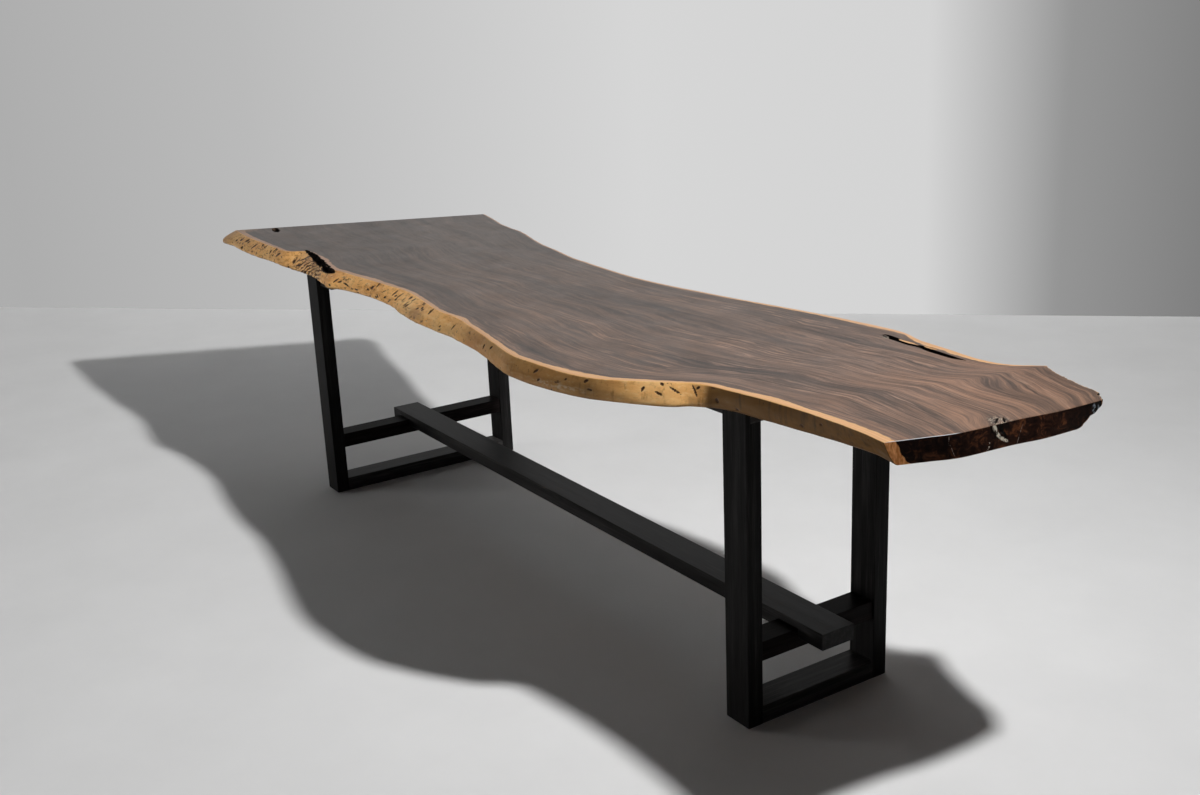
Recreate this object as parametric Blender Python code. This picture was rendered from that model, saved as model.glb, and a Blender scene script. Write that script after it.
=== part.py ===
"""Live-edge slab table: one thick slab on two dark U-frames that a lapped stretcher ties together."""
import math

import bmesh
import bpy
from mathutils import Matrix, Vector

# Heights and overall sizes, in metres; X runs along the table, Y across it, Z up
TABLE_HEIGHT = 0.760
SLAB_THICKNESS = 0.046
FIT_GAP = 0.0003

# U-frames
FRAME_SPACING = 1.939
RIGHT_FRAME_WIDTH = 0.406
LEFT_FRAME_WIDTH = 0.660
LEFT_FRAME_SHIFT = -0.004
LEG_DEPTH = 0.076
LEG_BREADTH = 0.040
BOTTOM_RAIL_HEIGHT = 0.042
CROSS_RAIL_BASE = 0.147
CROSS_RAIL_HEIGHT = 0.045
CROSS_RAIL_SETBACK = 0.005
EDGE_EASE = 0.0012

# Stretcher, half-lapped over the cross rails
STRETCHER_WIDTH = 0.090
STRETCHER_THICKNESS = 0.038
STRETCHER_LAP = 0.022
STRETCHER_SHIFT = -0.014
STRETCHER_PAST_RIGHT = 0.110
STRETCHER_PAST_LEFT = 0.084

# Bearer boards under the slab, wider than the legs towards the table's middle; each end is housed in
# a leg's top, behind a wall that runs up to the slab
BEARER_THICKNESS = 0.024
BEARER_REACH = 0.090
BEARER_WALL = 0.012

# Loose tenons between legs and rails
TENON_THICKNESS = 0.012
TENON_IN_RAIL = 0.030
MORTISE_WALL = 0.014
TENON_SHOULDER = 0.013

# Countersunk screws from the bearers down into the legs
SCREW_RADIUS = 0.0025
SCREW_HEAD_RADIUS = 0.0050
SCREW_HEAD_HEIGHT = 0.0030
SCREW_POINT = 0.006
LEG_SCREW_IN_LEG = 0.046
LEG_SCREW_SPREAD = 0.036
LEG_SCREW_SINK = 0.0006

# Pan-head screws from the cross rails up into the stretcher
LAP_SCREW_COUNTERBORE = 0.010
LAP_SCREW_IN_STRETCHER = 0.016

# Bolts, washers and threaded inserts that hold the slab
BOLT_RADIUS = 0.004
BOLT_HEAD_RADIUS = 0.007
BOLT_HEAD_HEIGHT = 0.0044
BOLT_IN_INSERT = 0.014
WASHER_RADIUS = 0.010
WASHER_THICKNESS = 0.0016
INSERT_RADIUS = 0.0065
INSERT_LENGTH = 0.018
BOLT_SLOT_PLAY = 0.006
BOLT_MARGIN = 0.075
RIGHT_BOLTS = 3
LEFT_BOLTS = 4

# Slab edges, left to right, from the middle between the frames: along, across, and how far the
# lower arris leans out past the upper one; the last point of each list meets the right end cut
FRONT_EDGE = (
    (-1.768, -0.300, 0.058), (-1.600, -0.318, 0.034), (-1.430, -0.322, 0.030), (-1.230, -0.314, 0.034),
    (-1.000, -0.306, 0.034), (-0.850, -0.315, 0.036), (-0.760, -0.320, 0.032), (-0.690, -0.316, 0.021),
    (-0.525, -0.305, 0.021), (-0.370, -0.294, 0.040), (-0.300, -0.300, 0.050), (-0.213, -0.315, 0.047),
    (-0.068, -0.338, 0.031), (0.023, -0.338, 0.032), (0.160, -0.361, 0.017), (0.308, -0.390, 0.013),
    (0.438, -0.414, 0.016), (0.550, -0.411, 0.020), (0.660, -0.400, 0.008), (0.745, -0.368, 0.010),
    (0.850, -0.282, 0.027), (0.900, -0.240, 0.018), (0.981, -0.222, -0.005), (1.100, -0.207, -0.003),
    (1.240, -0.203, -0.015), (1.337, -0.208, -0.022), (1.403, -0.217, -0.046),
)
BACK_EDGE = (
    (-1.391, 0.517, 0.020), (-1.255, 0.483, 0.018), (-1.149, 0.453, 0.022), (-1.030, 0.432, 0.020),
    (-0.960, 0.424, 0.016), (-0.843, 0.391, 0.018), (-0.702, 0.352, 0.024), (-0.578, 0.330, 0.022),
    (-0.434, 0.301, 0.018), (-0.280, 0.286, 0.014), (-0.135, 0.273, 0.016), (0.000, 0.271, 0.018),
    (0.139, 0.281, 0.014), (0.360, 0.309, 0.010), (0.557, 0.340, 0.012), (0.713, 0.358, 0.008),
    (0.843, 0.367, 0.000), (0.900, 0.360, -0.006), (0.957, 0.341, -0.010), (1.053, 0.328, -0.012),
    (1.150, 0.316, -0.014), (1.215, 0.328, -0.018), (1.272, 0.377, -0.024),
)
NOSE_EDGE = (
    (1.272, 0.377, -0.024), (1.321, 0.349, -0.024), (1.401, 0.317, -0.030), (1.446, 0.299, -0.040),
    (1.489, 0.265, -0.048),
)
RIGHT_END = (
    (1.403, -0.217), (1.428, -0.146), (1.451, -0.075), (1.466, 0.060), (1.482, 0.155), (1.489, 0.265),
)
EDGE_BULGE = 0.006
EDGE_ROUND = 0.005
EDGE_LEVELS = (0.0, 0.14, 0.45, 0.78, 1.0)
SPAN_STEPS = 4

# Natural voids of the slab
CRACK_RIM = (
    (0.868, 0.309), (0.872, 0.321), (0.895, 0.319), (0.917, 0.314), (0.974, 0.310), (1.000, 0.309),
    (1.030, 0.303), (1.057, 0.296), (1.084, 0.290), (1.141, 0.287), (1.113, 0.277), (1.077, 0.274),
    (1.053, 0.278), (1.003, 0.288), (0.979, 0.292), (0.935, 0.293), (0.900, 0.295), (0.884, 0.300),
)
# The bark pocket and the end notch each follow a line: along, across, and the depth of the line below the top
BARK_POCKET_LINE = (
    (-1.192, -0.258, 0.000), (-1.110, -0.266, 0.002), (-1.020, -0.287, 0.004), (-0.930, -0.308, 0.007),
    (-0.850, -0.325, 0.011), (-0.780, -0.336, 0.013),
)
BARK_POCKET_BREADTH = 0.034
BARK_POCKET_DEPTH = 0.026
END_NOTCH_LINE = ((-1.706, -0.178, 0.000), (-1.655, -0.191, 0.000), (-1.606, -0.203, 0.000))
END_NOTCH_BREADTH = 0.028
END_NOTCH_DEPTH = 0.020

ROUND_STEPS = 16
CUT_REACH = 0.010

# Levels and places that follow from the sizes above
SLAB_BASE = TABLE_HEIGHT - SLAB_THICKNESS
BEARER_TOP = SLAB_BASE - FIT_GAP
BEARER_BASE = BEARER_TOP - BEARER_THICKNESS
LEG_TOP = SLAB_BASE - FIT_GAP
LEG_SEAT = BEARER_BASE - FIT_GAP
CROSS_RAIL_TOP = CROSS_RAIL_BASE + CROSS_RAIL_HEIGHT
CROSS_RAIL_DEPTH = LEG_DEPTH - 2 * CROSS_RAIL_SETBACK
STRETCHER_BASE = CROSS_RAIL_TOP - STRETCHER_LAP
LAP_LEVEL = CROSS_RAIL_TOP - STRETCHER_LAP / 2
LAP_SCREW_SEAT = CROSS_RAIL_BASE + LAP_SCREW_COUNTERBORE
TENON_IN_LEG = LEG_BREADTH - MORTISE_WALL
BOLT_INSET = LEG_DEPTH / 2 + BEARER_REACH / 2
SCREW_BORE = SCREW_RADIUS + FIT_GAP
INSERT_BORE = BOLT_RADIUS + FIT_GAP


class Frame:
    """Where one U-frame stands, how wide it is and which way the table's middle lies."""

    def __init__(self, side, x, width, y, inward, bolts):
        self.side = side
        self.x = x
        self.width = width
        self.y = y
        self.inward = inward
        self.bolts = bolts

    def leg_y(self, end):
        return self.y + end * (self.width - LEG_BREADTH) / 2

    def inner_width(self):
        return self.width - 2 * LEG_BREADTH

    def bolt_places(self):
        reach = self.width / 2 - BOLT_MARGIN
        for i in range(self.bolts):
            yield self.x + self.inward * BOLT_INSET, self.y + reach * (2 * i / (self.bolts - 1) - 1)

    def leg_screw_places(self, end):
        for step in (-1, 1):
            yield self.x + step * LEG_SCREW_SPREAD / 2, self.leg_y(end) - end * BEARER_WALL / 2


FRAMES = (
    Frame("left", -FRAME_SPACING / 2, LEFT_FRAME_WIDTH, LEFT_FRAME_SHIFT, 1, LEFT_BOLTS),
    Frame("right", FRAME_SPACING / 2, RIGHT_FRAME_WIDTH, 0.0, -1, RIGHT_BOLTS),
)
LEG_ENDS = (("front", -1), ("back", 1))


def clear_scene():
    for ob in list(bpy.data.objects):
        bpy.data.objects.remove(ob, do_unlink=True)


def new_collection(name):
    col = bpy.data.collections.new(name)
    bpy.context.scene.collection.children.link(col)
    return col


def finish(name, colour, roughness, metallic=0.0):
    mat = bpy.data.materials.new(name)
    mat.use_nodes = True
    shader = mat.node_tree.nodes["Principled BSDF"]
    shader.inputs["Base Color"].default_value = (*colour, 1.0)
    shader.inputs["Roughness"].default_value = roughness
    shader.inputs["Metallic"].default_value = metallic
    return mat


clear_scene()
TABLE = new_collection("live_edge_table")
CUTTERS = new_collection("cutters")
ORIGIN = bpy.data.objects.new("table_origin", None)
TABLE.objects.link(ORIGIN)

SLAB_WOOD = finish("slab_wood", (0.120, 0.078, 0.055), 0.38)
DARK_WOOD = finish("ebonised_wood", (0.012, 0.011, 0.010), 0.42)
TENON_WOOD = finish("tenon_beech", (0.480, 0.310, 0.170), 0.60)
STEEL = finish("zinc_steel", (0.560, 0.570, 0.580), 0.35, 1.0)
BRASS = finish("insert_brass", (0.620, 0.460, 0.190), 0.35, 1.0)


def mesh_from(bm, name):
    bmesh.ops.recalc_face_normals(bm, faces=bm.faces)
    mesh = bpy.data.meshes.new(name)
    bm.to_mesh(mesh)
    bm.free()
    return mesh


def add_part(name, mesh, material, location=(0.0, 0.0, 0.0)):
    if not mesh.materials:
        mesh.materials.append(material)
    ob = bpy.data.objects.new(name, mesh)
    ob.location = location
    ob.parent = ORIGIN
    TABLE.objects.link(ob)
    return ob


def cut(target, bm, crossing=False):
    """Takes the bodies in bm out of the target; crossing is set where those bodies run into each other."""
    name = target.name + "_cutter"
    ob = bpy.data.objects.new(name, mesh_from(bm, name))
    ob.parent = ORIGIN
    ob.hide_render = True
    ob.display_type = "WIRE"
    CUTTERS.objects.link(ob)
    mod = target.modifiers.new("cut", "BOOLEAN")
    mod.operation = "DIFFERENCE"
    mod.solver = "EXACT"
    mod.use_self = crossing
    mod.object = ob


def add_box(bm, low, high):
    size = [b - a for a, b in zip(low, high)]
    middle = [(a + b) / 2 for a, b in zip(low, high)]
    placed = Matrix.Translation(middle) @ Matrix.Diagonal((*size, 1.0))
    return bmesh.ops.create_cube(bm, size=1.0, matrix=placed)["verts"]


def add_turned(bm, profile, place):
    """Turns a profile of (radius, height) points, from axis to axis, round an upright axis at place."""
    verts = [bm.verts.new((r, 0.0, z)) for r, z in profile]
    edges = [bm.edges.new(pair) for pair in zip(verts, verts[1:])]
    if profile[0][0] > 0.0:
        edges.append(bm.edges.new((verts[-1], verts[0])))
    before = set(bm.verts) - set(verts)
    bmesh.ops.spin(bm, geom=verts + edges, cent=(0, 0, 0), axis=(0, 0, 1), angle=2 * math.pi,
                   steps=ROUND_STEPS, use_merge=True)
    made = [v for v in bm.verts if v not in before]
    bmesh.ops.remove_doubles(bm, verts=made, dist=1e-6)
    made = [v for v in bm.verts if v not in before]
    bmesh.ops.translate(bm, verts=made, vec=place)


def turned_mesh(name, profile):
    bm = bmesh.new()
    add_turned(bm, profile, (0, 0, 0))
    mesh = mesh_from(bm, name)
    mesh.shade_smooth()
    mesh.set_sharp_from_angle(angle=math.radians(35))
    return mesh


def add_stadium(bm, width, thickness, length, axis_to, place):
    """A bar with two round edges: width on X, thickness and length turned by axis_to."""
    turned = Matrix.Rotation(math.pi / ROUND_STEPS, 4, "Z")
    made = bmesh.ops.create_cone(bm, cap_ends=True, segments=ROUND_STEPS, radius1=thickness / 2,
                                 radius2=thickness / 2, depth=length, matrix=turned)["verts"]
    for v in made:
        v.co.x += math.copysign((width - thickness) / 2, v.co.x)
    bmesh.ops.transform(bm, verts=made, matrix=Matrix.Translation(place) @ axis_to)


ALONG_Y = Matrix.Rotation(math.pi / 2, 4, "X")
FLAT_SLOT = Matrix.Rotation(math.pi / 2, 4, "Z")


def member(name, low, high, along):
    """A squared timber with its long edges eased; along is the axis of its length."""
    bm = bmesh.new()
    add_box(bm, low, high)
    long_edges = [e for e in bm.edges if abs((e.verts[1].co - e.verts[0].co).normalized()[along]) > 0.9]
    bmesh.ops.bevel(bm, geom=long_edges, offset=EDGE_EASE, offset_type="OFFSET", segments=2, profile=0.5,
                    affect="EDGES", material=-1)
    return add_part(name, mesh_from(bm, name), DARK_WOOD)


# Tenons and the mortises that hold them: both come from the same place and section
def rail_tenons(frame):
    """Yields name, rail, end, section width and place of each loose tenon of a frame."""
    rails = (
        ("bottom_rail", BOTTOM_RAIL_HEIGHT / 2, LEG_DEPTH - 2 * TENON_SHOULDER),
        ("cross_rail", CROSS_RAIL_BASE + CROSS_RAIL_HEIGHT / 2, CROSS_RAIL_DEPTH - 2 * TENON_SHOULDER),
    )
    for rail, z, width in rails:
        for end_name, end in LEG_ENDS:
            joint = frame.y + end * frame.inner_width() / 2
            middle = joint + end * (TENON_IN_LEG - TENON_IN_RAIL) / 2
            yield rail, end_name, width, (frame.x, middle, z)


def tenon_length(clearance):
    return TENON_IN_LEG + TENON_IN_RAIL - 2 * FIT_GAP + 2 * clearance


def add_mortises(bm, frame, rail=None, end_name=None):
    for its_rail, its_end, width, place in rail_tenons(frame):
        if its_rail == rail or its_end == end_name:
            add_stadium(bm, width + 2 * FIT_GAP, TENON_THICKNESS + 2 * FIT_GAP, tenon_length(FIT_GAP),
                        ALONG_Y, place)


def build_tenons(frame):
    for rail, end_name, width, place in rail_tenons(frame):
        bm = bmesh.new()
        add_stadium(bm, width, TENON_THICKNESS, tenon_length(0.0), ALONG_Y, (0, 0, 0))
        name = f"{frame.side}_{rail}_{end_name}_tenon"
        add_part(name, mesh_from(bm, name), TENON_WOOD, place)


def build_legs(frame):
    for end_name, end in LEG_ENDS:
        y = frame.leg_y(end)
        low = (frame.x - LEG_DEPTH / 2, y - LEG_BREADTH / 2, 0.0)
        high = (frame.x + LEG_DEPTH / 2, y + LEG_BREADTH / 2, LEG_TOP)
        leg = member(f"{frame.side}_{end_name}_leg", low, high, 2)
        bm = bmesh.new()
        add_mortises(bm, frame, end_name=end_name)
        wall = frame.y + end * (frame.width / 2 - BEARER_WALL)
        inside = wall - end * LEG_BREADTH
        add_box(bm, (frame.x - LEG_DEPTH, min(wall, inside), LEG_SEAT),
                (frame.x + LEG_DEPTH, max(wall, inside), LEG_TOP + CUT_REACH))
        deep = LEG_SEAT - LEG_SCREW_IN_LEG - FIT_GAP
        for place in frame.leg_screw_places(end):
            add_turned(bm, ((0, LEG_SEAT + CUT_REACH), (SCREW_BORE, LEG_SEAT + CUT_REACH), (SCREW_BORE, deep),
                            (0, deep)), (*place, 0))
        cut(leg, bm, crossing=True)


def build_bottom_rail(frame):
    half = frame.inner_width() / 2 - FIT_GAP
    low = (frame.x - LEG_DEPTH / 2, frame.y - half, 0.0)
    high = (frame.x + LEG_DEPTH / 2, frame.y + half, BOTTOM_RAIL_HEIGHT)
    rail = member(f"{frame.side}_bottom_rail", low, high, 1)
    bm = bmesh.new()
    add_mortises(bm, frame, rail="bottom_rail")
    cut(rail, bm)


def build_cross_rail(frame):
    half = frame.inner_width() / 2 - FIT_GAP
    low = (frame.x - CROSS_RAIL_DEPTH / 2, frame.y - half, CROSS_RAIL_BASE)
    high = (frame.x + CROSS_RAIL_DEPTH / 2, frame.y + half, CROSS_RAIL_TOP)
    rail = member(f"{frame.side}_cross_rail", low, high, 1)
    bm = bmesh.new()
    add_mortises(bm, frame, rail="cross_rail")
    notch = STRETCHER_WIDTH / 2 + FIT_GAP
    add_box(bm, (frame.x - LEG_DEPTH, STRETCHER_SHIFT - notch, LAP_LEVEL),
            (frame.x + LEG_DEPTH, STRETCHER_SHIFT + notch, CROSS_RAIL_TOP + CUT_REACH))
    head = SCREW_HEAD_RADIUS + FIT_GAP
    low_end = CROSS_RAIL_BASE - CUT_REACH
    add_turned(bm, ((0, LAP_LEVEL + CUT_REACH / 2), (SCREW_BORE, LAP_LEVEL + CUT_REACH / 2),
                    (SCREW_BORE, LAP_SCREW_SEAT), (head, LAP_SCREW_SEAT), (head, low_end), (0, low_end)),
               (frame.x, STRETCHER_SHIFT, 0))
    cut(rail, bm, crossing=True)


def build_stretcher():
    left, right = FRAMES
    low = (left.x - STRETCHER_PAST_LEFT, STRETCHER_SHIFT - STRETCHER_WIDTH / 2, STRETCHER_BASE)
    high = (right.x + STRETCHER_PAST_RIGHT, STRETCHER_SHIFT + STRETCHER_WIDTH / 2,
            STRETCHER_BASE + STRETCHER_THICKNESS)
    stretcher = member("stretcher", low, high, 0)
    bm = bmesh.new()
    notch = CROSS_RAIL_DEPTH / 2 + FIT_GAP
    tip = LAP_LEVEL + LAP_SCREW_IN_STRETCHER + FIT_GAP
    for frame in FRAMES:
        add_box(bm, (frame.x - notch, low[1] - CUT_REACH, STRETCHER_BASE - CUT_REACH),
                (frame.x + notch, high[1] + CUT_REACH, LAP_LEVEL + FIT_GAP))
        add_turned(bm, ((0, tip), (SCREW_BORE, tip), (SCREW_BORE, STRETCHER_BASE), (0, STRETCHER_BASE)),
                   (frame.x, STRETCHER_SHIFT, 0))
    cut(stretcher, bm, crossing=True)


def build_bearer(frame):
    outer = frame.x - frame.inward * LEG_DEPTH / 2
    inner = frame.x + frame.inward * (LEG_DEPTH / 2 + BEARER_REACH)
    half = frame.width / 2 - BEARER_WALL - FIT_GAP
    low = (min(outer, inner), frame.y - half, BEARER_BASE)
    high = (max(outer, inner), frame.y + half, BEARER_TOP)
    bearer = member(f"{frame.side}_bearer", low, high, 1)
    bm = bmesh.new()
    top = BEARER_TOP + CUT_REACH
    sink = BEARER_TOP - LEG_SCREW_SINK + FIT_GAP
    head = SCREW_HEAD_RADIUS + 2 * FIT_GAP
    for end_name, end in LEG_ENDS:
        for place in frame.leg_screw_places(end):
            add_turned(bm, ((0, top), (head, top), (head, sink - 2 * FIT_GAP),
                            (SCREW_BORE, sink - 2 * FIT_GAP - SCREW_HEAD_HEIGHT),
                            (SCREW_BORE, BEARER_BASE - CUT_REACH), (0, BEARER_BASE - CUT_REACH)), (*place, 0))
    bore = 2 * INSERT_BORE
    for x, y in frame.bolt_places():
        add_stadium(bm, bore + 2 * BOLT_SLOT_PLAY, bore, BEARER_THICKNESS + 2 * CUT_REACH, FLAT_SLOT,
                    (x, y, (BEARER_BASE + BEARER_TOP) / 2))
    cut(bearer, bm)


def build_leg_screws(frame):
    z = BEARER_TOP - LEG_SCREW_SINK
    length = z - LEG_SEAT + LEG_SCREW_IN_LEG
    mesh = turned_mesh(f"{frame.side}_leg_screw", (
        (0, 0), (SCREW_HEAD_RADIUS, 0), (SCREW_RADIUS, -SCREW_HEAD_HEIGHT),
        (SCREW_RADIUS, SCREW_POINT - length), (0, -length)))
    for end_name, end in LEG_ENDS:
        for number, (x, y) in enumerate(frame.leg_screw_places(end), 1):
            add_part(f"{frame.side}_{end_name}_leg_screw_{number}", mesh, STEEL, (x, y, z))


def build_lap_screw(frame):
    seat = LAP_SCREW_SEAT - FIT_GAP
    length = LAP_LEVEL + LAP_SCREW_IN_STRETCHER - seat
    mesh = turned_mesh(f"{frame.side}_lap_screw", (
        (0, length), (SCREW_RADIUS, length - SCREW_POINT), (SCREW_RADIUS, 0), (SCREW_HEAD_RADIUS, 0),
        (SCREW_HEAD_RADIUS, -SCREW_HEAD_HEIGHT), (0, -SCREW_HEAD_HEIGHT)))
    add_part(f"{frame.side}_lap_screw", mesh, STEEL, (frame.x, STRETCHER_SHIFT, seat))


def build_slab_bolts(frame):
    washer_base = BEARER_BASE - FIT_GAP - WASHER_THICKNESS
    seat = washer_base - FIT_GAP
    insert_base = SLAB_BASE + FIT_GAP
    bolt = turned_mesh(f"{frame.side}_slab_bolt", (
        (0, insert_base + BOLT_IN_INSERT - seat), (BOLT_RADIUS, insert_base + BOLT_IN_INSERT - seat),
        (BOLT_RADIUS, 0), (BOLT_HEAD_RADIUS, 0), (BOLT_HEAD_RADIUS, -BOLT_HEAD_HEIGHT / 3),
        (BOLT_HEAD_RADIUS * 0.62, -BOLT_HEAD_HEIGHT), (0, -BOLT_HEAD_HEIGHT)))
    washer = turned_mesh(f"{frame.side}_washer", (
        (INSERT_BORE, WASHER_THICKNESS), (WASHER_RADIUS, WASHER_THICKNESS), (WASHER_RADIUS, 0),
        (INSERT_BORE, 0)))
    insert = turned_mesh(f"{frame.side}_insert", (
        (INSERT_BORE, INSERT_LENGTH), (INSERT_RADIUS, INSERT_LENGTH), (INSERT_RADIUS, 0), (INSERT_BORE, 0)))
    for number, (x, y) in enumerate(frame.bolt_places(), 1):
        add_part(f"{frame.side}_slab_bolt_{number}", bolt, STEEL, (x, y, seat))
        add_part(f"{frame.side}_washer_{number}", washer, STEEL, (x, y, washer_base))
        add_part(f"{frame.side}_insert_{number}", insert, BRASS, (x, y, insert_base))


def curve_through(points, closed=False):
    """Points of a smooth curve through the given ones, SPAN_STEPS to a span, without the last one."""
    given = [Vector(p) for p in points]
    count = len(given)
    made = []
    for i in range(count if closed else count - 1):
        if closed:
            a, b, c, d = (given[(i + k) % count] for k in (-1, 0, 1, 2))
        else:
            b, c = given[i], given[i + 1]
            a = given[i - 1] if i > 0 else b + (b - c)
            d = given[i + 2] if i + 2 < count else c + (c - b)
        for step in range(SPAN_STEPS):
            t = step / SPAN_STEPS
            made.append(0.5 * (2 * b + (c - a) * t + (2 * a - 5 * b + 4 * c - d) * t ** 2
                               + (3 * b - a - 3 * c + d) * t ** 3))
    return made


def slab_outline():
    """The upper arris all round as (x, y), and for each point the plan vector to the lower arris."""
    front = curve_through(FRONT_EDGE)
    end = curve_through([(*p, 0.0) for p in RIGHT_END])
    nose = curve_through(NOSE_EDGE[::-1])
    back = curve_through(BACK_EDGE[::-1])
    left_cut = (Vector(FRONT_EDGE[0][:2]) - Vector(BACK_EDGE[0][:2])).normalized()
    right_cut = (Vector(RIGHT_END[0]) - Vector(RIGHT_END[1])).normalized()
    tops, leans = [], []
    for i, p in enumerate(front):
        way = left_cut if i == 0 else Vector((0, -1))
        tops.append(p.xy)
        leans.append(way * p.z)
    for i, p in enumerate(end):
        tops.append(p.xy)
        leans.append(right_cut * FRONT_EDGE[-1][2] if i == 0 else Vector((0, 0)))
    nose_way = Vector((0.55, 0.83))
    for p in nose:
        tops.append(p.xy)
        leans.append(nose_way * p.z)
    for p in back:
        tops.append(p.xy)
        leans.append(Vector((0, 1)) * p.z)
    tops.append(Vector(BACK_EDGE[0][:2]))
    leans.append(-left_cut * BACK_EDGE[0][2])
    return tops, leans


def build_slab():
    tops, leans = slab_outline()
    bm = bmesh.new()
    loops = []
    for level in EDGE_LEVELS:
        loop = []
        out = EDGE_BULGE * math.sin(math.pi * level) if level > 0 else -EDGE_ROUND
        for top, lean in zip(tops, leans):
            way = lean.normalized() if lean.length > 0 else lean
            plan = top + lean * (1 - level) + way * math.copysign(1, way.dot(top)) * out
            loop.append(bm.verts.new((*plan, SLAB_BASE + level * SLAB_THICKNESS)))
        edges = [bm.edges.new((a, b)) for a, b in zip(loop, loop[1:] + loop[:1])]
        if loops:
            bmesh.ops.bridge_loops(bm, edges=loops[-1] + edges)
        loops.append(edges)
    for edges in (loops[0], loops[-1]):
        bmesh.ops.contextual_create(bm, geom=edges)
    slab = add_part("slab_top", mesh_from(bm, "slab_top"), SLAB_WOOD)
    cut(slab, slab_voids())
    return slab


def add_pocket(bm, line, breadth, depth):
    """A long rounded hollow that follows a line, sunk into the slab's top."""
    run = [*curve_through(line), Vector(line[-1])]
    lying = Matrix.Rotation(math.pi / 2, 4, "Y")
    made = bmesh.ops.create_uvsphere(bm, u_segments=ROUND_STEPS, v_segments=ROUND_STEPS, radius=1.0,
                                     matrix=lying)["verts"]
    for v in made:
        reach = (v.co.x + 1) / 2 * (len(run) - 1)
        k = min(int(reach), len(run) - 2)
        spot = run[k].lerp(run[k + 1], reach - k)
        ahead = (run[k + 1] - run[k]).xy.normalized()
        across = v.co.y * breadth / 2
        v.co = (spot.x - ahead.y * across, spot.y + ahead.x * across, TABLE_HEIGHT - spot.z + v.co.z * depth)


def slab_voids():
    """The drying crack right through, the bark pocket in the front arris, the notch and the insert bores."""
    bm = bmesh.new()
    rim = curve_through([(*p, SLAB_BASE - CUT_REACH) for p in CRACK_RIM], True)
    floor = bm.faces.new([bm.verts.new(p) for p in rim])
    risen = bmesh.ops.extrude_face_region(bm, geom=[floor])["geom"]
    top_verts = [v for v in risen if isinstance(v, bmesh.types.BMVert)]
    bmesh.ops.translate(bm, verts=top_verts, vec=(0, 0, SLAB_THICKNESS + 2 * CUT_REACH))
    add_pocket(bm, BARK_POCKET_LINE, BARK_POCKET_BREADTH, BARK_POCKET_DEPTH)
    add_pocket(bm, END_NOTCH_LINE, END_NOTCH_BREADTH, END_NOTCH_DEPTH)
    bore = INSERT_RADIUS + FIT_GAP
    deep = SLAB_BASE + INSERT_LENGTH + 2 * FIT_GAP
    for frame in FRAMES:
        for x, y in frame.bolt_places():
            add_turned(bm, ((0, deep), (bore, deep), (bore, SLAB_BASE - CUT_REACH),
                            (0, SLAB_BASE - CUT_REACH)), (x, y, 0))
    return bm


def centre_on_slab(slab):
    """Moves the whole table so that the slab's middle stands over the origin."""
    corners = [Vector(c) for c in slab.bound_box]
    middle = (corners[0] + corners[6]) / 2
    ORIGIN.location = (-middle.x, -middle.y, 0.0)


for u_frame in FRAMES:
    build_legs(u_frame)
    build_bottom_rail(u_frame)
    build_cross_rail(u_frame)
    build_tenons(u_frame)
    build_bearer(u_frame)
    build_leg_screws(u_frame)
    build_lap_screw(u_frame)
    build_slab_bolts(u_frame)
build_stretcher()
centre_on_slab(build_slab())
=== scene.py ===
# Live-edge slab table: the slab's worked surface, the finishes, and a plain studio round them.
import math
import random
from bisect import bisect_right

import bmesh
import bpy
from mathutils import Euler, Matrix, Vector, noise


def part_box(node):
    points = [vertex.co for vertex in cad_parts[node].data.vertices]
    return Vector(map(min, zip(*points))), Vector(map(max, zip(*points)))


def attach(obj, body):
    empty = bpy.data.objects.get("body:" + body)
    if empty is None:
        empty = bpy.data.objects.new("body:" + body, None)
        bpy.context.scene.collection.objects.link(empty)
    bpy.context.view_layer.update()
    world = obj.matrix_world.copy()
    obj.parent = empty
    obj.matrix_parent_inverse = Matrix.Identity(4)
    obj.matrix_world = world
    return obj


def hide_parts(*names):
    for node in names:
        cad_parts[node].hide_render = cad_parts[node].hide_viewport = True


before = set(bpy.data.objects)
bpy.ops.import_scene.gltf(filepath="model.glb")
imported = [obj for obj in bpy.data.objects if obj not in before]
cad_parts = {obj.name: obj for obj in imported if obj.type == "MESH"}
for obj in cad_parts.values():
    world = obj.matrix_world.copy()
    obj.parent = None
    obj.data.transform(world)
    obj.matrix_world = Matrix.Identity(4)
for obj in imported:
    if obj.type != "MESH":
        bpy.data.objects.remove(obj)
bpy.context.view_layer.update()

# Slab. Sizes and places are in metres from a floor point: midway between the two frames along the table,
# and at the middle of the right frame across it
TOP = 0.760
THICKNESS = 0.046
# Rounding of the upper arris, easing of the sawn ends' arrises, and the columns that make it
UPPER_ARRIS = 0.0013
END_EASE = 0.0009
EASE_COLUMNS = 3
# Along the slab, how far its edges swell and how round their lower arris is: x and size
EDGE_BULGE = [(-1.77, 0.013), (-1.50, 0.009), (-0.80, 0.008), (0.00, 0.007), (0.90, 0.004), (1.40, 0.002)]
LOWER_ARRIS = [
    (-1.77, 0.024), (-1.72, 0.014), (-1.60, 0.012), (-1.50, 0.010), (-0.80, 0.009), (0.60, 0.009),
    (0.90, 0.007), (1.40, 0.006),
]
# The relief of a live edge dies out within this distance of it, on the faces beside it
RELIEF_FADE = 0.03
# Within this distance of a sawn end the live edges lean along it, so that the end stays upright
END_TURN = 0.06
# The front and back edges lean square to their own run over this distance
LEAN_REACH = {-1: 0.06, 1: 0.01}
# Relief of the live edges, as noise: waves a metre along, waves over the height, increment, gap and octaves
SLOW_WAVES = (10, 1.3, 0.8, 2.1, 3)
QUICK_WAVES = (32, 2, 0.8, 2.1, 3)
FINE_WAVES = (60, 4, 0.7, 2.2, 3)
BARK_WAVES = (70, 3, 0.6, 2.3, 4)
SIDE_SEED = 3.0
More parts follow.
